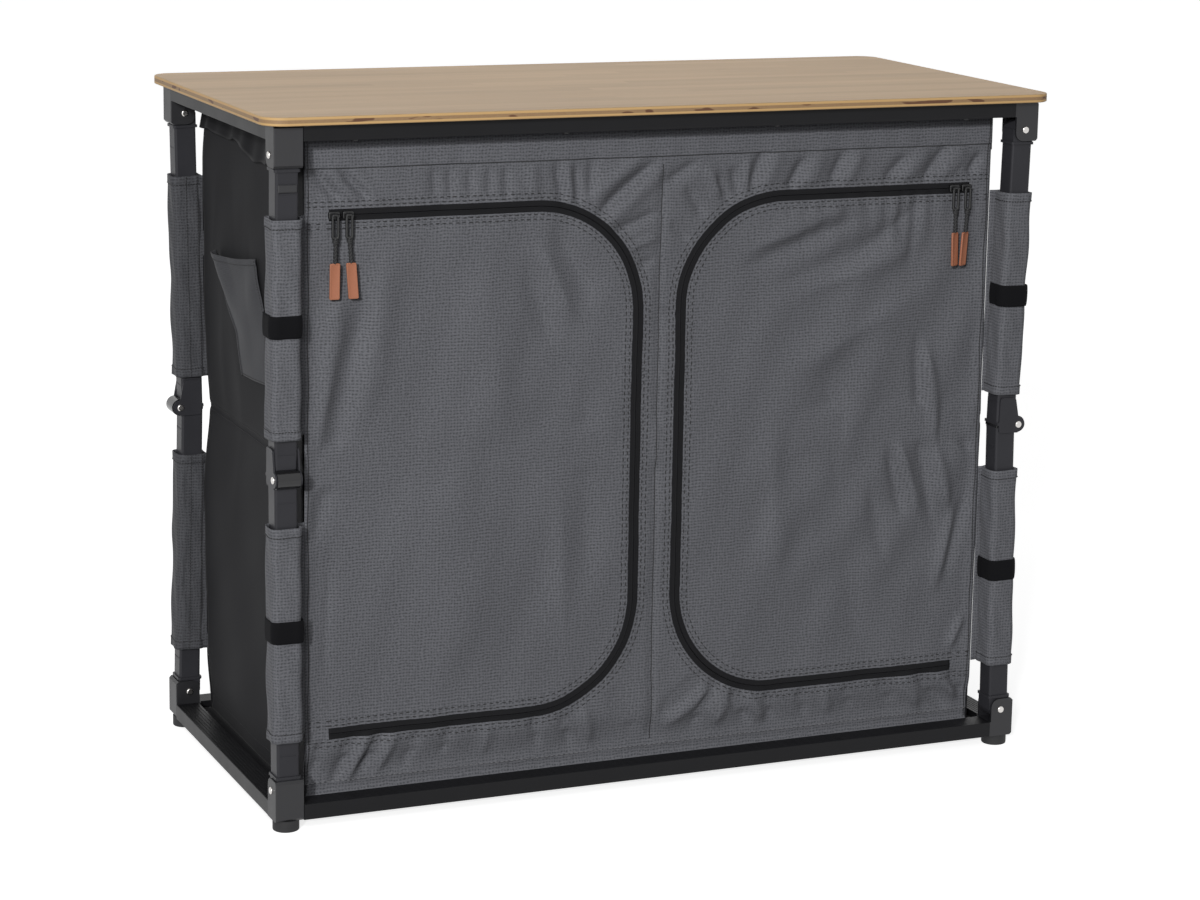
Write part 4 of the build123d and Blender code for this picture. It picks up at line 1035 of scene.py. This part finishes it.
# The sides and the back, with the flaps under the rails, the seams and the pocket
class CUPBOARD_OT_sides(bpy.types.Operator):
    """Build the side cloths, the back, the flaps and the pocket"""

    bl_idname = "cupboard.sides"
    bl_label = "Sides, back and pocket"

    # One whole panel: shape gives its points, and flip turns the faces of a panel to the other side
    def panel(self, name, half, shape, flip, step, thickness):
        across = int(round(2 * half / step)) + 1
        along = int(round((PANEL_HIGH - PANEL_LOW) / step)) + 1
        us = np.linspace(-half, half, across)
        zs = np.linspace(PANEL_LOW, PANEL_HIGH, along)
        u, z = (side.ravel() for side in np.meshgrid(us, zs))
        outer = shape(u, z, 0.0)
        inner = shape(u, z, -thickness)
        faces = grid_faces(across, along)
        if flip:
            faces = faces[:, ::-1]
        points, faces, rim = closed_sheet(outer, inner, faces)
        cloth = np.concatenate([np.stack([u, z], axis=1)] * 2)
        return make_object(name, points, faces, cloth, [finish("Dark cloth")], rim=rim)

    # The loose flap under a side rail, which stands off more towards its low edge
    def flap(self, name, side, thickness):
        across, along = 120, 12
        us = np.linspace(-SIDE_HALF, SIDE_HALF, across)
        ts = np.linspace(0, 1, along)
        u, t = (part.ravel() for part in np.meshgrid(us, ts))
        low = FLAP_LOW + 0.0018 * np.sin(u * 55) + 0.001 * np.sin(u * 131 + 1)
        low = low - 0.013 * smooth_step(0.06, -0.03, u)
        z = FADE_HIGH + (low - FADE_HIGH) * t
        wave = (0.0016 * np.sin(u * 55 + 0.6) + 0.001 * np.sin(u * 140)) * t
        lift = 0.0012 + (0.0055 if side < 0 else 0.0015) * t + wave
        outer = side_point(u, z, side, lift)
        inner = side_point(u, z, side, lift - thickness)
        faces = grid_faces(across, along)
        if side > 0:
            faces = faces[:, ::-1]
        points, faces, rim = closed_sheet(outer, inner, faces)
        cloth = np.concatenate([np.stack([u, z], axis=1)] * 2)
        return make_object(name, points, faces, cloth, [finish("Dark cloth")], rim=rim)

    # The slanting pocket on the left: t runs across it from the front and v up
    def pocket(self, thickness):
        across, along = 96, 64
        ts = np.linspace(0, 1, across)
        vs = np.linspace(0, 1, along)
        t, v = (part.ravel() for part in np.meshgrid(ts, vs))
        front = np.interp(v, *POCKET_FRONT)
        back = np.interp(v, *POCKET_BACK)
        y = front + (back - front) * t
        bottom = POCKET_BOTTOM - 0.004 * t
        top = POCKET_TOP - 0.0115 * t - 0.004 * np.sin(t * math.pi)
        z = bottom + (top - bottom) * v
        # It bellies out, gapes at its top back corner, and has a raised hem at its edges
        bulge = np.sin(np.clip(t * 1.05, 0, 1) * math.pi) * (0.002 + 0.007 * v**2)
        gape = 0.011 * smooth_step(0.55, 0.9, t) * smooth_step(0.5, 1.0, v) * smooth_step(1.02, 0.93, t)
        crease = 0.0026 * np.sin(t * 9 + v * 5) * np.sin(v * 6) * v
        bead = 0.0011 * (np.exp(-((t / 0.025) ** 2)) + np.exp(-(((1 - t) / 0.02) ** 2)))
        bead = bead + 0.0012 * smooth_step(0.945, 0.96, v)
        lift = 0.0012 + bulge + gape + (crease + bead)
        outer = side_point(y, z, -1, lift)
        inner = side_point(y, z, -1, lift - thickness)
        points, faces, rim = closed_sheet(outer, inner, grid_faces(across, along)[:, ::-1])
        cloth = np.concatenate([np.stack([y, z], axis=1)] * 2)
        pocket = make_object("pocket_cloth", points, faces, cloth, [finish("Pocket cloth")], rim=rim)
        grid = (outer + np.array([-0.0003, 0, 0])).reshape(along, across, 3)
        rows = [grid[-4], grid[1], grid[:, 2], grid[:, -3]]
        return pocket, stitched("pocket_stitches", rows, POCKET_STITCH)

    def execute(self, context):
        thickness = context.scene.cupboard_fabric.sheet_thickness
        for label, side in (("left", -1), ("right", 1)):
            panel = self.panel(
                f"side_{label}_cloth", SIDE_HALF,
                lambda u, z, lift, side=side: side_point(u, z, side, lift),
                side < 0, 0.004, thickness,
            )
            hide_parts(f"side_{label}")
            squash_cloth(panel, "base")
            flap = self.flap(f"side_{label}_flap", side, thickness)
            squash_cloth(flap, "base")
            u = np.linspace(-SIDE_HALF + 0.002, SIDE_HALF - 0.002, 130)
            heights = (SHELF_HEIGHT - 0.004, SHELF_HEIGHT + 0.004, HEM_LOW)
            rows = [side_point(u, np.full(len(u), height), side, 0.0002) for height in heights]
            seams = stitched(f"side_{label}_seams", rows, SIDE_STITCH)
            squash_cloth(seams, "base")
            if side < 0:
                for piece in self.pocket(thickness):
                    squash_cloth(piece, "base")
        back = self.panel("back_cloth", SIDE_PLANE, back_point, True, 0.006, thickness)
        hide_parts("back_panel")
        squash_cloth(back, "base")
        u = np.linspace(-SEAM_X, SEAM_X, 260)
        z = np.linspace(0.03, 0.77, 200)
        heights = (HEM_LOW, SHELF_HEIGHT, HEM_HIGH)
        rows = [back_point(u, np.full(len(u), height), 0.0002) for height in heights]
        rows += [back_point(np.full(len(z), side * SEAM_X), z, 0.0002) for side in (-1, 1)]
        seams = stitched("back_seams", rows, BACK_STITCH)
        squash_cloth(seams, "base")
        return {"FINISHED"}


# The place of a leg half's own frame, in which its sleeve and strap are made
def leg_matrix(corner, upper):
    x, y, turn = CORNERS[corner]
    place = Matrix.Translation((x, y, 0)) @ Matrix.Rotation(math.radians(turn), 4, "Z")
    if upper:
        place = place @ Matrix.Translation((*LEG_CENTRE, HIGH_PIVOT))
        place = place @ Matrix.Rotation(LEG_TILT, 4, "X") @ Matrix.Rotation(math.pi, 4, "Y")
    else:
        place = place @ Matrix.Translation((*LEG_CENTRE, LOW_PIVOT))
        place = place @ Matrix.Rotation(-LEG_TILT, 4, "X")
    return np.array(place)


# Where a sleeve and its strap have slid along their leg half, towards its knee when positive
SLEEVE_SLIDES = {("fl", True): -0.006, ("bl", False): -0.003}
STRAP_SLIDES = {
    ("fl", True): -0.0105, ("fl", False): 0.0045, ("fr", True): 0.0015, ("fr", False): -0.0023,
}

# The sleeves' and straps' rounded squares: half the width, the corners' radius and the points
# round. A strap's lap lies one step over its first turn
SLEEVE_SQUARE = (0.0171, 0.0075, 88)
STRAP_SQUARE = (0.0169, 0.0076, 96)
SLEEVE_HEM = 0.010
STRAP_TURNS = 1.3
STRAP_STEP = 0.0013


# Where a sleeve starts and ends along its leg half
def sleeve_ends(corner, upper):
    slide = SLEEVE_SLIDES.get((corner, upper), 0.0)
    start, end = HIGH_SLEEVE if upper else LOW_SLEEVE
    return start + slide, end + slide


# The back sleeves take the darkened ripstop, which paints the shade they lie in behind the front legs
def sleeve_cloth(corner):
    return "Painted shade ripstop" if corner in ("bl", "br") else "Grey ripstop"


# A rounded square's outline, as points, outward directions and run lengths
def square_outline(half, radius, count):
    side = 2 * (half - radius)
    arc = math.pi / 2 * radius
    total = 4 * (side + arc)
    run = np.arange(count) / count * total
    points = np.empty((count, 2))
    outward = np.empty((count, 2))
    for i, s in enumerate(run):
        quarter, rest = divmod(s, side + arc)
        if rest < side:
            point = np.array([half, -half + radius + rest])
            normal = np.array([1.0, 0.0])
        else:
            angle = (rest - side) / radius
            normal = np.array([math.cos(angle), math.sin(angle)])
            point = np.array([half - radius, half - radius]) + radius * normal
        turn = quarter * math.pi / 2
        spin = np.array([[math.cos(turn), -math.sin(turn)], [math.sin(turn), math.cos(turn)]])
        points[i] = spin @ point
        outward[i] = spin @ normal
    return points, outward, run


# The sleeves with their webs and seams, and the hook-and-loop straps round the front ones
class CUPBOARD_OT_sleeves(bpy.types.Operator):
    """Build the leg sleeves, the webs that join them to the box, and the straps"""

    bl_idname = "cupboard.sleeves"
    bl_label = "Leg sleeves and straps"

    # How far a sleeve stands off its square: wrinkles, thicker hems, and a pinch at its middle
    def sleeve_lift(self, run, height, start, end, seed):
        lift = 0.0006 * np.sin(run * 130 + seed) * np.sin(height * 60 + seed)
        lift = lift + 0.0004 * np.sin(run * 260 + height * 90 + seed)
        hem = np.maximum(
            smooth_step(start + 0.0115, start + 0.0105, height),
            smooth_step(end - 0.0115, end - 0.0105, height),
        )
        middle = (start + end) / 2
        pinch = np.exp(-((height - middle) / 0.016) ** 2)
        return lift + 0.0007 * hem - 0.0009 * pinch

    # The two seams that run down one face of a sleeve
    def seam_rows(self, start, end, seed, upper):
        half, radius, _ = SLEEVE_SQUARE
        quarter = 2 * (half - radius) + math.pi / 2 * radius
        heights = np.linspace(start + 0.002, end - 0.002, 70)
        rows = []
        for place in (-0.002, half - 0.0055):
            run = half - radius + place
            if upper:
                run = 2 * quarter + half - radius - place
            lift = self.sleeve_lift(np.full(len(heights), run), heights, start, end, seed) + 0.0004
            side = -(half + lift) if upper else half + lift
            rows.append(np.stack([side, np.full(len(heights), place + SLEEVE_OFFSET), heights], axis=1))
        return rows

    # The rows round a sleeve's two hems
    def hem_rows(self, start, end, seed):
        outline, outward, run = square_outline(*SLEEVE_SQUARE)
        rows = []
        for height in (start + SLEEVE_HEM, end - SLEEVE_HEM):
            lift = self.sleeve_lift(run, np.full(len(run), height), start, end, seed) + 0.0003
            ring = outline + outward * lift[:, None]
            ring = np.concatenate([ring, ring[:1]])
            ring[:, 1] += SLEEVE_OFFSET
            rows.append(np.concatenate([ring, np.full((len(ring), 1), height)], axis=1))
        return rows

    # The tube of cloth round a leg half, a little looser where no strap holds it
    def tube(self, name, corner, upper, ends, seed, strapped, thickness):
        outline, outward, run = square_outline(*SLEEVE_SQUARE)
        count, rows = len(run), 82
        start, end = ends
        heights = np.linspace(start, end, rows)
        grid_run, grid_height = np.meshgrid(run, heights)
        lift = self.sleeve_lift(grid_run, grid_height, start, end, seed)
        if not strapped:
            lift = lift + 0.0003
        base = outline[None, :, :] + outward[None, :, :] * lift[:, :, None]
        base[:, :, 1] += SLEEVE_OFFSET
        inner = base - outward[None, :, :] * thickness
        outer_points = np.concatenate([base, grid_height[:, :, None]], axis=2).reshape(-1, 3)
        inner_points = np.concatenate([inner, grid_height[:, :, None]], axis=2).reshape(-1, 3)
        faces = []
        for r in range(rows - 1):
            for c in range(count):
                n = (c + 1) % count
                faces.append((r * count + c, r * count + n, (r + 1) * count + n, (r + 1) * count + c))
        points, faces, rim = closed_sheet(outer_points, inner_points, np.array(faces))
        cloth = np.concatenate([np.stack([grid_run.ravel(), grid_height.ravel()], axis=1)] * 2)
        return self.placed(name, points, faces, cloth, corner, upper, sleeve_cloth(corner), rim)

    # A piece made in a leg half's own frame, set at its place
    def placed(self, name, points, faces, cloth, corner, upper, material, rim):
        matrix = leg_matrix(corner, upper)
        points = points @ matrix[:3, :3].T + matrix[:3, 3]
        return make_object(name, points, faces, cloth, [finish(material)], rim=rim)

    # The strip of cloth from a sleeve to the cupboard's corner, half its thickness to each side
    def web(self, name, corner, upper, ends, thickness):
        inset = (SIDE_INSET, FRONT_INSET) if corner in ("fl", "br") else (FRONT_INSET, SIDE_INSET)
        box_x, box_y = inset[0] - LEG_CENTRE[0], inset[1] - LEG_CENTRE[1]
        if upper:
            box_x = -box_x
        side = 1 if box_x > 0 else -1
        root = np.array([side * 0.0150, SLEEVE_OFFSET + 0.0062])
        rows, columns = 60, 8
        outer, inner, cloth = [], [], []
        for height in np.linspace(*ends, rows):
            tip = np.array([box_x, box_y * math.cos(LEG_TILT) - height * math.sin(LEG_TILT)])
            way = tip - root
            length = np.linalg.norm(way)
            way /= length
            across = np.array([-way[1], way[0]]) * side
            tip = tip - way * 0.0006
            for k in range(columns):
                t = k / (columns - 1)
                bow = 0.0006 * math.sin(math.pi * t) * math.sin(height * 70)
                point = root + (tip - root) * t + across * bow
                outer.append((*(point + across * thickness), height))
                inner.append((*(point - across * thickness), height))
                cloth.append((t * length, height))
        points, faces, rim = closed_sheet(np.array(outer), np.array(inner), grid_faces(columns, rows))
        if side > 0:
            faces = faces[:, ::-1]
        cloth = np.array(cloth * 2)
        return self.placed(name, points, faces, cloth, corner, upper, sleeve_cloth(corner), rim)

    # A strap goes round its sleeve once and then laps over its own start
    def strap(self, name, corner, upper, width):
        middle = sum(HIGH_SLEEVE if upper else LOW_SLEEVE) / 2 + STRAP_SLIDES[corner, upper]
        outline, outward, run = square_outline(*STRAP_SQUARE)
        count, rows = len(run), 12
        total = run[-1] + run[1]
        steps = int(count * STRAP_TURNS)
        outer, inner, cloth = [], [], []
        for r in range(rows):
            level = middle + width * (r / (rows - 1) - 0.5)
            for c in range(steps):
                k = c % count
                share = c / (steps - 1)
                layer = 0.0004 + STRAP_STEP * min(1.0, max(0.0, (share * STRAP_TURNS - 0.88) / 0.12))
                round_off = math.sin(math.pi * r / (rows - 1)) ** 0.5
                place = outline[k] + outward[k] * layer
                point = place + outward[k] * (0.0007 + 0.0009 * round_off)
                outer.append((point[0], point[1] + SLEEVE_OFFSET, level))
                inner.append((place[0], place[1] + SLEEVE_OFFSET, level))
                cloth.append((share * total * STRAP_TURNS, level))
        points, faces, rim = closed_sheet(np.array(outer), np.array(inner), grid_faces(steps, rows))
        cloth = np.array(cloth * 2)
        return self.placed(name, points, faces, cloth, corner, upper, "Hook and loop", rim)

    def execute(self, context):
        fabric = context.scene.cupboard_fabric
        thickness = fabric.sheet_thickness
        _, _, run = square_outline(*SLEEVE_SQUARE)
        for number, corner in enumerate(CORNERS):
            for upper in (False, True):
                level = "upper" if upper else "lower"
                body = f"leg_{corner}_{level}"
                name = f"sleeve_{corner}_{level}"
                strapped = corner in ("fl", "fr")
                start, end = ends = sleeve_ends(corner, upper)
                seed = 1.7 * number + (0.9 if upper else 0.0)
                tube = self.tube(name + "_cloth", corner, upper, ends, seed, strapped, thickness)
                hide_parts(name)
                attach(tube, body)
                web = self.web(name + "_web", corner, upper, ends, thickness / 2)
                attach(web, body)
                rows = self.hem_rows(start, end, seed) + self.seam_rows(start, end, seed, upper)
                matrix = leg_matrix(corner, upper)
                rows = [row @ matrix[:3, :3].T + matrix[:3, 3] for row in rows]
                stitches = stitched(name + "_stitches", rows, SLEEVE_STITCH)
                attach(stitches, body)
                if strapped:
                    strap = self.strap(f"strap_{corner}_{level}", corner, upper, fabric.strap_width)
                    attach(strap, body)
        return {"FINISHED"}


# Half the floor sling's width and depth, to the channels that hold it, the sag of both slings,
# and the shelf board's corners and edges
FLOOR_HALF = (0.446, 0.197)
FLOOR_SAG = 0.0004
SHELF_SAG = 0.0003
BOARD_CORNER = 0.004
BOARD_BEVEL = 0.0006


# The inside: the sling floor and the shelf in its sling
class CUPBOARD_OT_inside(bpy.types.Operator):
    """Build the sling floor and the shelf"""

    bl_idname = "cupboard.inside"
    bl_label = "Floor and shelf"

    # A level cloth that is held along its edges and sags between them
    def sling(self, name, half_x, half_y, height, sag, thickness):
        across, along = 72, 36
        xs = np.linspace(-half_x, half_x, across)
        ys = np.linspace(-half_y, half_y, along)
        x, y = (part.ravel() for part in np.meshgrid(xs, ys))
        dip = sag * smooth_step(half_x, half_x - 0.03, np.abs(x))
        dip = dip * smooth_step(half_y, half_y - 0.03, np.abs(y))
        top = np.stack([x, y, height - dip], axis=1)
        bottom = top - np.array([0, 0, thickness])
        points, faces, rim = closed_sheet(top, bottom, grid_faces(across, along))
        cloth = np.concatenate([np.stack([x, y], axis=1)] * 2)
        return make_object(name, points, faces, cloth, [finish("Dark cloth")], rim=rim)

    # The shelf's board, with rounded corners and softened edges
    def board(self, name, height):
        half_x, half_y = BOARD_HALF
        outline = np.array(rounded_corners(half_x, half_y, BOARD_CORNER, 6))
        count = len(outline)
        levels = (
            (0.0, BOARD_BEVEL), (BOARD_BEVEL, 0.0),
            (BOARD_THICKNESS - BOARD_BEVEL, 0.0), (BOARD_THICKNESS, BOARD_BEVEL),
        )
        points, faces = [], []
        for rise, inset in levels:
            scale = np.array([(half_x - inset) / half_x, (half_y - inset) / half_y])
            points += [(*(p * scale), height + rise) for p in outline]
        for low in range(0, 3 * count, count):
            high = low + count
            for i in range(count):
                n = (i + 1) % count
                faces.append((low + i, low + n, high + n, high + i))
        faces.append(list(reversed(range(count))))
        faces.append([3 * count + i for i in range(count)])
        return make_object(name, np.array(points), faces, None, [finish("Board")], smooth=False)

    def execute(self, context):
        thickness = context.scene.cupboard_fabric.sheet_thickness
        floor = self.sling("floor_sling", *FLOOR_HALF, FLOOR_HEIGHT + 0.0004, FLOOR_SAG, thickness)
        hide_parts("fabric_floor")
        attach(floor, "base")
        board = self.board("shelf_board", SHELF_HEIGHT)
        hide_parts("shelf")
        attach(board, "shelf")
        sling = self.sling("shelf_sling", *SLING_HALF, SHELF_HEIGHT - 0.0004, SHELF_SAG, thickness)
        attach(sling, "shelf")
        return {"FINISHED"}


# The wire loop on a slider
LOOP_HALF = 0.0031
LOOP_BEND = 0.0019
LOOP_WIRE = 0.0015

# A cord is two strands twisted round each other, with a knot of two turns under the loop
CORD_TOP = 0.002
CORD_END = 0.0272
STRAND = 0.0014
STRAND_TURN = 0.0085
KNOT_STRAND = 0.0012
KNOT_TURNS = ((0.0016, 0.3), (0.0036, -0.35))

# A tag's width, length and thickness, its corners, and the profile of its rounded edge
TAG_WIDTH = 0.0116
TAG_LENGTH = 0.040
TAG_THICKNESS = 0.0024
TAG_CORNER = 0.0016
TAG_TOP = 0.0271
TAG_LEVELS = (
    (0.0020, 0.00035), (0.0012, 0.0), (0.0004, 0.0), (0.0, 0.0004),
    (0.0, TAG_THICKNESS - 0.0004), (0.0004, TAG_THICKNESS), (0.0012, TAG_THICKNESS),
    (0.0020, TAG_THICKNESS - 0.00035),
)

# How far each cord leans, for each metre below its pull, and how far the tags are turned
CORD_LEANS = {
    ("left", "outer"): -0.015, ("left", "inner"): 0.075,
    ("right", "outer"): -0.06, ("right", "inner"): 0.02,
}
TAG_TURNS = {"left": 0.0, "right": 0.45}


# The cords and tags that hang from the zip pulls
class CUPBOARD_OT_pulls(bpy.types.Operator):
    """Build the zip cords with their knots and tags"""

    bl_idname = "cupboard.pulls"
    bl_label = "Zip cords and tags"

    # A round wire or strand along a path. The guide is never along the path
    def sweep(self, path, radius, guide, closed=False, sides=10):
        path = np.array(path, dtype=float)
        count = len(path)
        if closed:
            ahead = np.roll(path, -1, axis=0) - np.roll(path, 1, axis=0)
        else:
            ahead = np.gradient(path, axis=0)
        ahead /= np.linalg.norm(ahead, axis=1)[:, None]
        frame_x = np.cross(ahead, guide)
        frame_x /= np.linalg.norm(frame_x, axis=1)[:, None]
        frame_y = np.cross(ahead, frame_x)
        angle = 2 * math.pi * np.arange(sides) / sides
        cosine, sine = np.cos(angle)[None, :, None], np.sin(angle)[None, :, None]
        ring = frame_x[:, None] * cosine + frame_y[:, None] * sine
        points = (path[:, None] + ring * radius).reshape(-1, 3)
        faces = []
        for i in range(count if closed else count - 1):
            j = (i + 1) % count
            for k in range(sides):
                n = (k + 1) % sides
                faces.append((i * sides + k, i * sides + n, j * sides + n, j * sides + k))
        if not closed:
            faces.append(list(reversed(range(sides))))
            faces.append([(count - 1) * sides + k for k in range(sides)])
        return points, faces

    # Several closed shells as one piece, leaning by so much for each metre below the pull
    def joined(self, name, shells, lean, top, material):
        points, faces, start = [], [], 0
        for shell_points, shell_faces in shells:
            points.append(shell_points)
            faces += [[start + i for i in face] for face in shell_faces]
            start += len(shell_points)
        points = np.concatenate(points)
        points[:, 0] += np.clip(top - points[:, 2], 0, None) * lean
        return make_object(name, points, faces, None, [finish(material)])

    # The wire loop on a slider: a long rounded frame
    def loop(self, name, x):
        high, low = ZIP_HIGH + 0.0008, ZIP_HIGH - PULL_LENGTH + 0.0004
        path = []
        for centre_x, centre_z, start in ((1, high, 0), (-1, high, 90), (-1, low, 180), (1, low, 270)):
            side = -1 if centre_z == high else 1
            for k in range(7):
                angle = math.radians(start + 15 * k)
                path.append((
                    x + centre_x * (LOOP_HALF - LOOP_BEND) + LOOP_BEND * math.cos(angle), BAR_DEPTH,
                    centre_z + side * LOOP_BEND + LOOP_BEND * math.sin(angle),
                ))
        wire = self.sweep(path, LOOP_WIRE, (0, 1, 0), True)
        return self.joined(name, [wire], 0.0, 0.0, "Black zip metal")

    # A twisted cord from the loop to the tag, with its knot
    def cord(self, name, x, top, lean):
        shells = []
        heights = np.linspace(top + CORD_TOP, top - CORD_END, 40)
        for turn in (0, math.pi):
            phase = heights * 2 * math.pi / STRAND_TURN + turn
            path = np.stack([
                x + 0.0010 * np.cos(phase), BAR_DEPTH + 0.0007 * np.sin(phase), heights,
            ], axis=1)
            shells.append(self.sweep(path, STRAND, (0, 1, 0)))
        angle = np.linspace(0, 2 * math.pi, 24, endpoint=False)
        for level, tilt in KNOT_TURNS:
            path = np.stack([
                x + 0.0023 * np.cos(angle), BAR_DEPTH + 0.0019 * np.sin(angle),
                top - level + 0.0009 * np.sin(angle + tilt),
            ], axis=1)
            shells.append(self.sweep(path, KNOT_STRAND, (0, 0, 1), True))
        return self.joined(name, shells, lean, top, "Cord")

    def execute(self, context):
        top = ZIP_HIGH - PULL_LENGTH
        for label, side in (("left", -1), ("right", 1)):
            for order, place in zip(("outer", "inner"), SLIDER_PLACES):
                x = side * place
                lean = CORD_LEANS[label, order]
                body = f"pull_{label}_{order}"
                loop = self.loop(f"zip_loop_{label}_{order}", x)
                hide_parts(f"zip_pull_{label}_{order}")
                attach(loop, body)
                cord = self.cord(f"zip_cord_{label}_{order}", x, top, lean)
                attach(cord, body)
                tag = self.tag(f"zip_grip_{label}_{order}", x, top, lean, TAG_TURNS[label])
                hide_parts(f"zip_tag_{label}_{order}")
                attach(tag, body)
        return {"FINISHED"}

    # A flat moulded grip with rounded edges and a shallow dish on both faces
    def tag(self, name, x, top, lean, turn):
        centre = top - TAG_TOP - TAG_LENGTH / 2
        outline = np.array(rounded_corners(TAG_WIDTH / 2, TAG_LENGTH / 2, TAG_CORNER, 5))
        count = len(outline)
        points, faces = [], []
        for inset, depth in TAG_LEVELS:
            scale = np.array([1 - 2 * inset / TAG_WIDTH, 1 - 2 * inset / TAG_LENGTH])
            behind = depth - TAG_THICKNESS / 2
            for point in outline * scale:
                across = point[0] * math.cos(turn) - behind * math.sin(turn)
                ahead = point[0] * math.sin(turn) + behind * math.cos(turn)
                points.append((x + across, BAR_DEPTH + ahead, centre + point[1]))
        last = (len(TAG_LEVELS) - 1) * count
        for low in range(0, last, count):
            high = low + count
            for i in range(count):
                n = (i + 1) % count
                faces.append((low + i, high + i, high + n, low + n))
        faces.append(list(range(count)))
        faces.append([last + i for i in reversed(range(count))])
        return self.joined(name, [(np.array(points), faces)], lean, top, "Zip tag")


# The floor as the light meets it, as the camera sees it, and its glow there
FLOOR_TONE = (0.16, 0.16, 0.16)
FLOOR_SEEN = (0.7, 0.7, 0.7)
FLOOR_GLOW = 0.78

# The world's strength on the object, and how much is added where the camera sees it
WORLD_LIGHT = 0.16
WORLD_SEEN = 0.9

# Each lamp's name, kind, place, size or angle, and power. All point at the aim
LAMPS = (
    ("Key", "SUN", (-2.3, -3.3, 1.8), 0.08, 1.6),
    ("Fill", "AREA", (-1.2, -1.7, 1.25), 0.5, 11),
    ("Back", "AREA", (0.4, 2.2, 3.4), 2.6, 28),
)
LAMP_AIM = (0, 0, 0.4)

# The camera that was fitted to the photo: its place, its yaw, pitch and roll, and its lens
CAMERA_PLACE = (-1.4609, -3.4226, 1.1957)
CAMERA_ANGLES = (0.4112, -0.1956, 0.0185)
CAMERA_LENS = 94.69
CAMERA_SHIFT = (-0.0158, -0.0686)


# The floor, the light and the camera
class CUPBOARD_OT_stage(bpy.types.Operator):
    """Set the floor, the lamps, the world and the camera"""

    bl_idname = "cupboard.stage"
    bl_label = "Floor, light and camera"

    def execute(self, context):
        scene = context.scene
        scene.view_settings.view_transform = "Standard"
        bpy.ops.mesh.primitive_plane_add(size=30, location=(0, 0, 0))
        floor = context.object
        floor.name = "floor"
        material, tree, shader = new_material("Floor", (0.9, 0.9, 0.9), 0.9)
        rays = tree.nodes.new("ShaderNodeLightPath")
        seen = maths(tree, "MAXIMUM", rays.outputs["Is Camera Ray"], rays.outputs["Is Glossy Ray"])
        tree.links.new(mix_colours(tree, seen, FLOOR_TONE, FLOOR_SEEN), shader.inputs["Base Color"])
        shader.inputs["Specular IOR Level"].default_value = 0.0
        shader.inputs["Emission Color"].default_value = (1.0, 1.0, 1.0, 1.0)
        tree.links.new(maths(tree, "MULTIPLY", seen, FLOOR_GLOW), shader.inputs["Emission Strength"])
        floor.data.materials.append(material)
        world = bpy.data.worlds.new("Studio")
        scene.world = world
        world.use_nodes = True
        tree = world.node_tree
        rays = tree.nodes.new("ShaderNodeLightPath")
        seen = maths(tree, "MAXIMUM", rays.outputs["Is Camera Ray"], rays.outputs["Is Glossy Ray"])
        seen = maths(tree, "MAXIMUM", seen, rays.outputs["Is Transmission Ray"])
        strength = maths(tree, "MULTIPLY_ADD", seen, WORLD_SEEN, WORLD_LIGHT)
        background = tree.nodes["Background"]
        background.inputs["Color"].default_value = (1.0, 1.0, 1.0, 1.0)
        tree.links.new(strength, background.inputs["Strength"])
        for name, kind, place, size, power in LAMPS:
            data = bpy.data.lights.new(name, kind)
            if kind == "SUN":
                data.angle = size
            else:
                data.shape = "SQUARE"
                data.size = size
            data.energy = power
            lamp = bpy.data.objects.new(name, data)
            lamp.location = place
            lamp.rotation_mode = "QUATERNION"
            lamp.rotation_quaternion = (Vector(LAMP_AIM) - Vector(place)).to_track_quat("-Z", "Y")
            context.collection.objects.link(lamp)
        yaw, pitch, roll = CAMERA_ANGLES
        flat = math.cos(pitch)
        ahead = Vector((math.sin(yaw) * flat, math.cos(yaw) * flat, math.sin(pitch)))
        level = Vector((math.cos(yaw), -math.sin(yaw), 0))
        upright = level.cross(ahead)
        right = math.cos(roll) * level + math.sin(roll) * upright
        up = -math.sin(roll) * level + math.cos(roll) * upright
        data = bpy.data.cameras.new("Camera")
        data.sensor_width = 36
        data.lens = CAMERA_LENS
        data.shift_x, data.shift_y = CAMERA_SHIFT
        camera = bpy.data.objects.new("Camera", data)
        turn = Matrix((right, up, -ahead)).transposed().to_4x4()
        camera.matrix_world = Matrix.Translation(CAMERA_PLACE) @ turn
        context.collection.objects.link(camera)
        scene.camera = camera
        return {"FINISHED"}


class CUPBOARD_PT_panel(bpy.types.Panel):
    """The cupboard's steps and sizes"""

    bl_idname = "CUPBOARD_PT_panel"
    bl_label = "Camping cupboard"
    bl_space_type = "VIEW_3D"
    bl_region_type = "UI"
    bl_category = "Cupboard"

    def draw(self, context):
        layout = self.layout
        for group in (context.scene.cupboard_fabric, context.scene.cupboard_colours):
            for name in group.__annotations__:
                layout.prop(group, name)
        for operator in STEPS:
            layout.operator(operator.bl_idname)


STEPS = (
    CUPBOARD_OT_hard_parts, CUPBOARD_OT_front, CUPBOARD_OT_sides, CUPBOARD_OT_sleeves,
    CUPBOARD_OT_inside, CUPBOARD_OT_pulls, CUPBOARD_OT_stage,
)
CLASSES = (CupboardFabric, CupboardColours, *STEPS, CUPBOARD_PT_panel)


def register():
    for item in CLASSES:
        bpy.utils.register_class(item)
    bpy.types.Scene.cupboard_fabric = bpy.props.PointerProperty(type=CupboardFabric)
    bpy.types.Scene.cupboard_colours = bpy.props.PointerProperty(type=CupboardColours)


def unregister():
    del bpy.types.Scene.cupboard_colours
    del bpy.types.Scene.cupboard_fabric
    for item in reversed(CLASSES):
        bpy.utils.unregister_class(item)


def main():
    register()
    bpy.ops.cupboard.hard_parts()
    bpy.ops.cupboard.front()
    bpy.ops.cupboard.sides()
    bpy.ops.cupboard.sleeves()
    bpy.ops.cupboard.inside()
    bpy.ops.cupboard.pulls()
    bpy.ops.cupboard.stage()


if __name__ == "__main__":
    main()
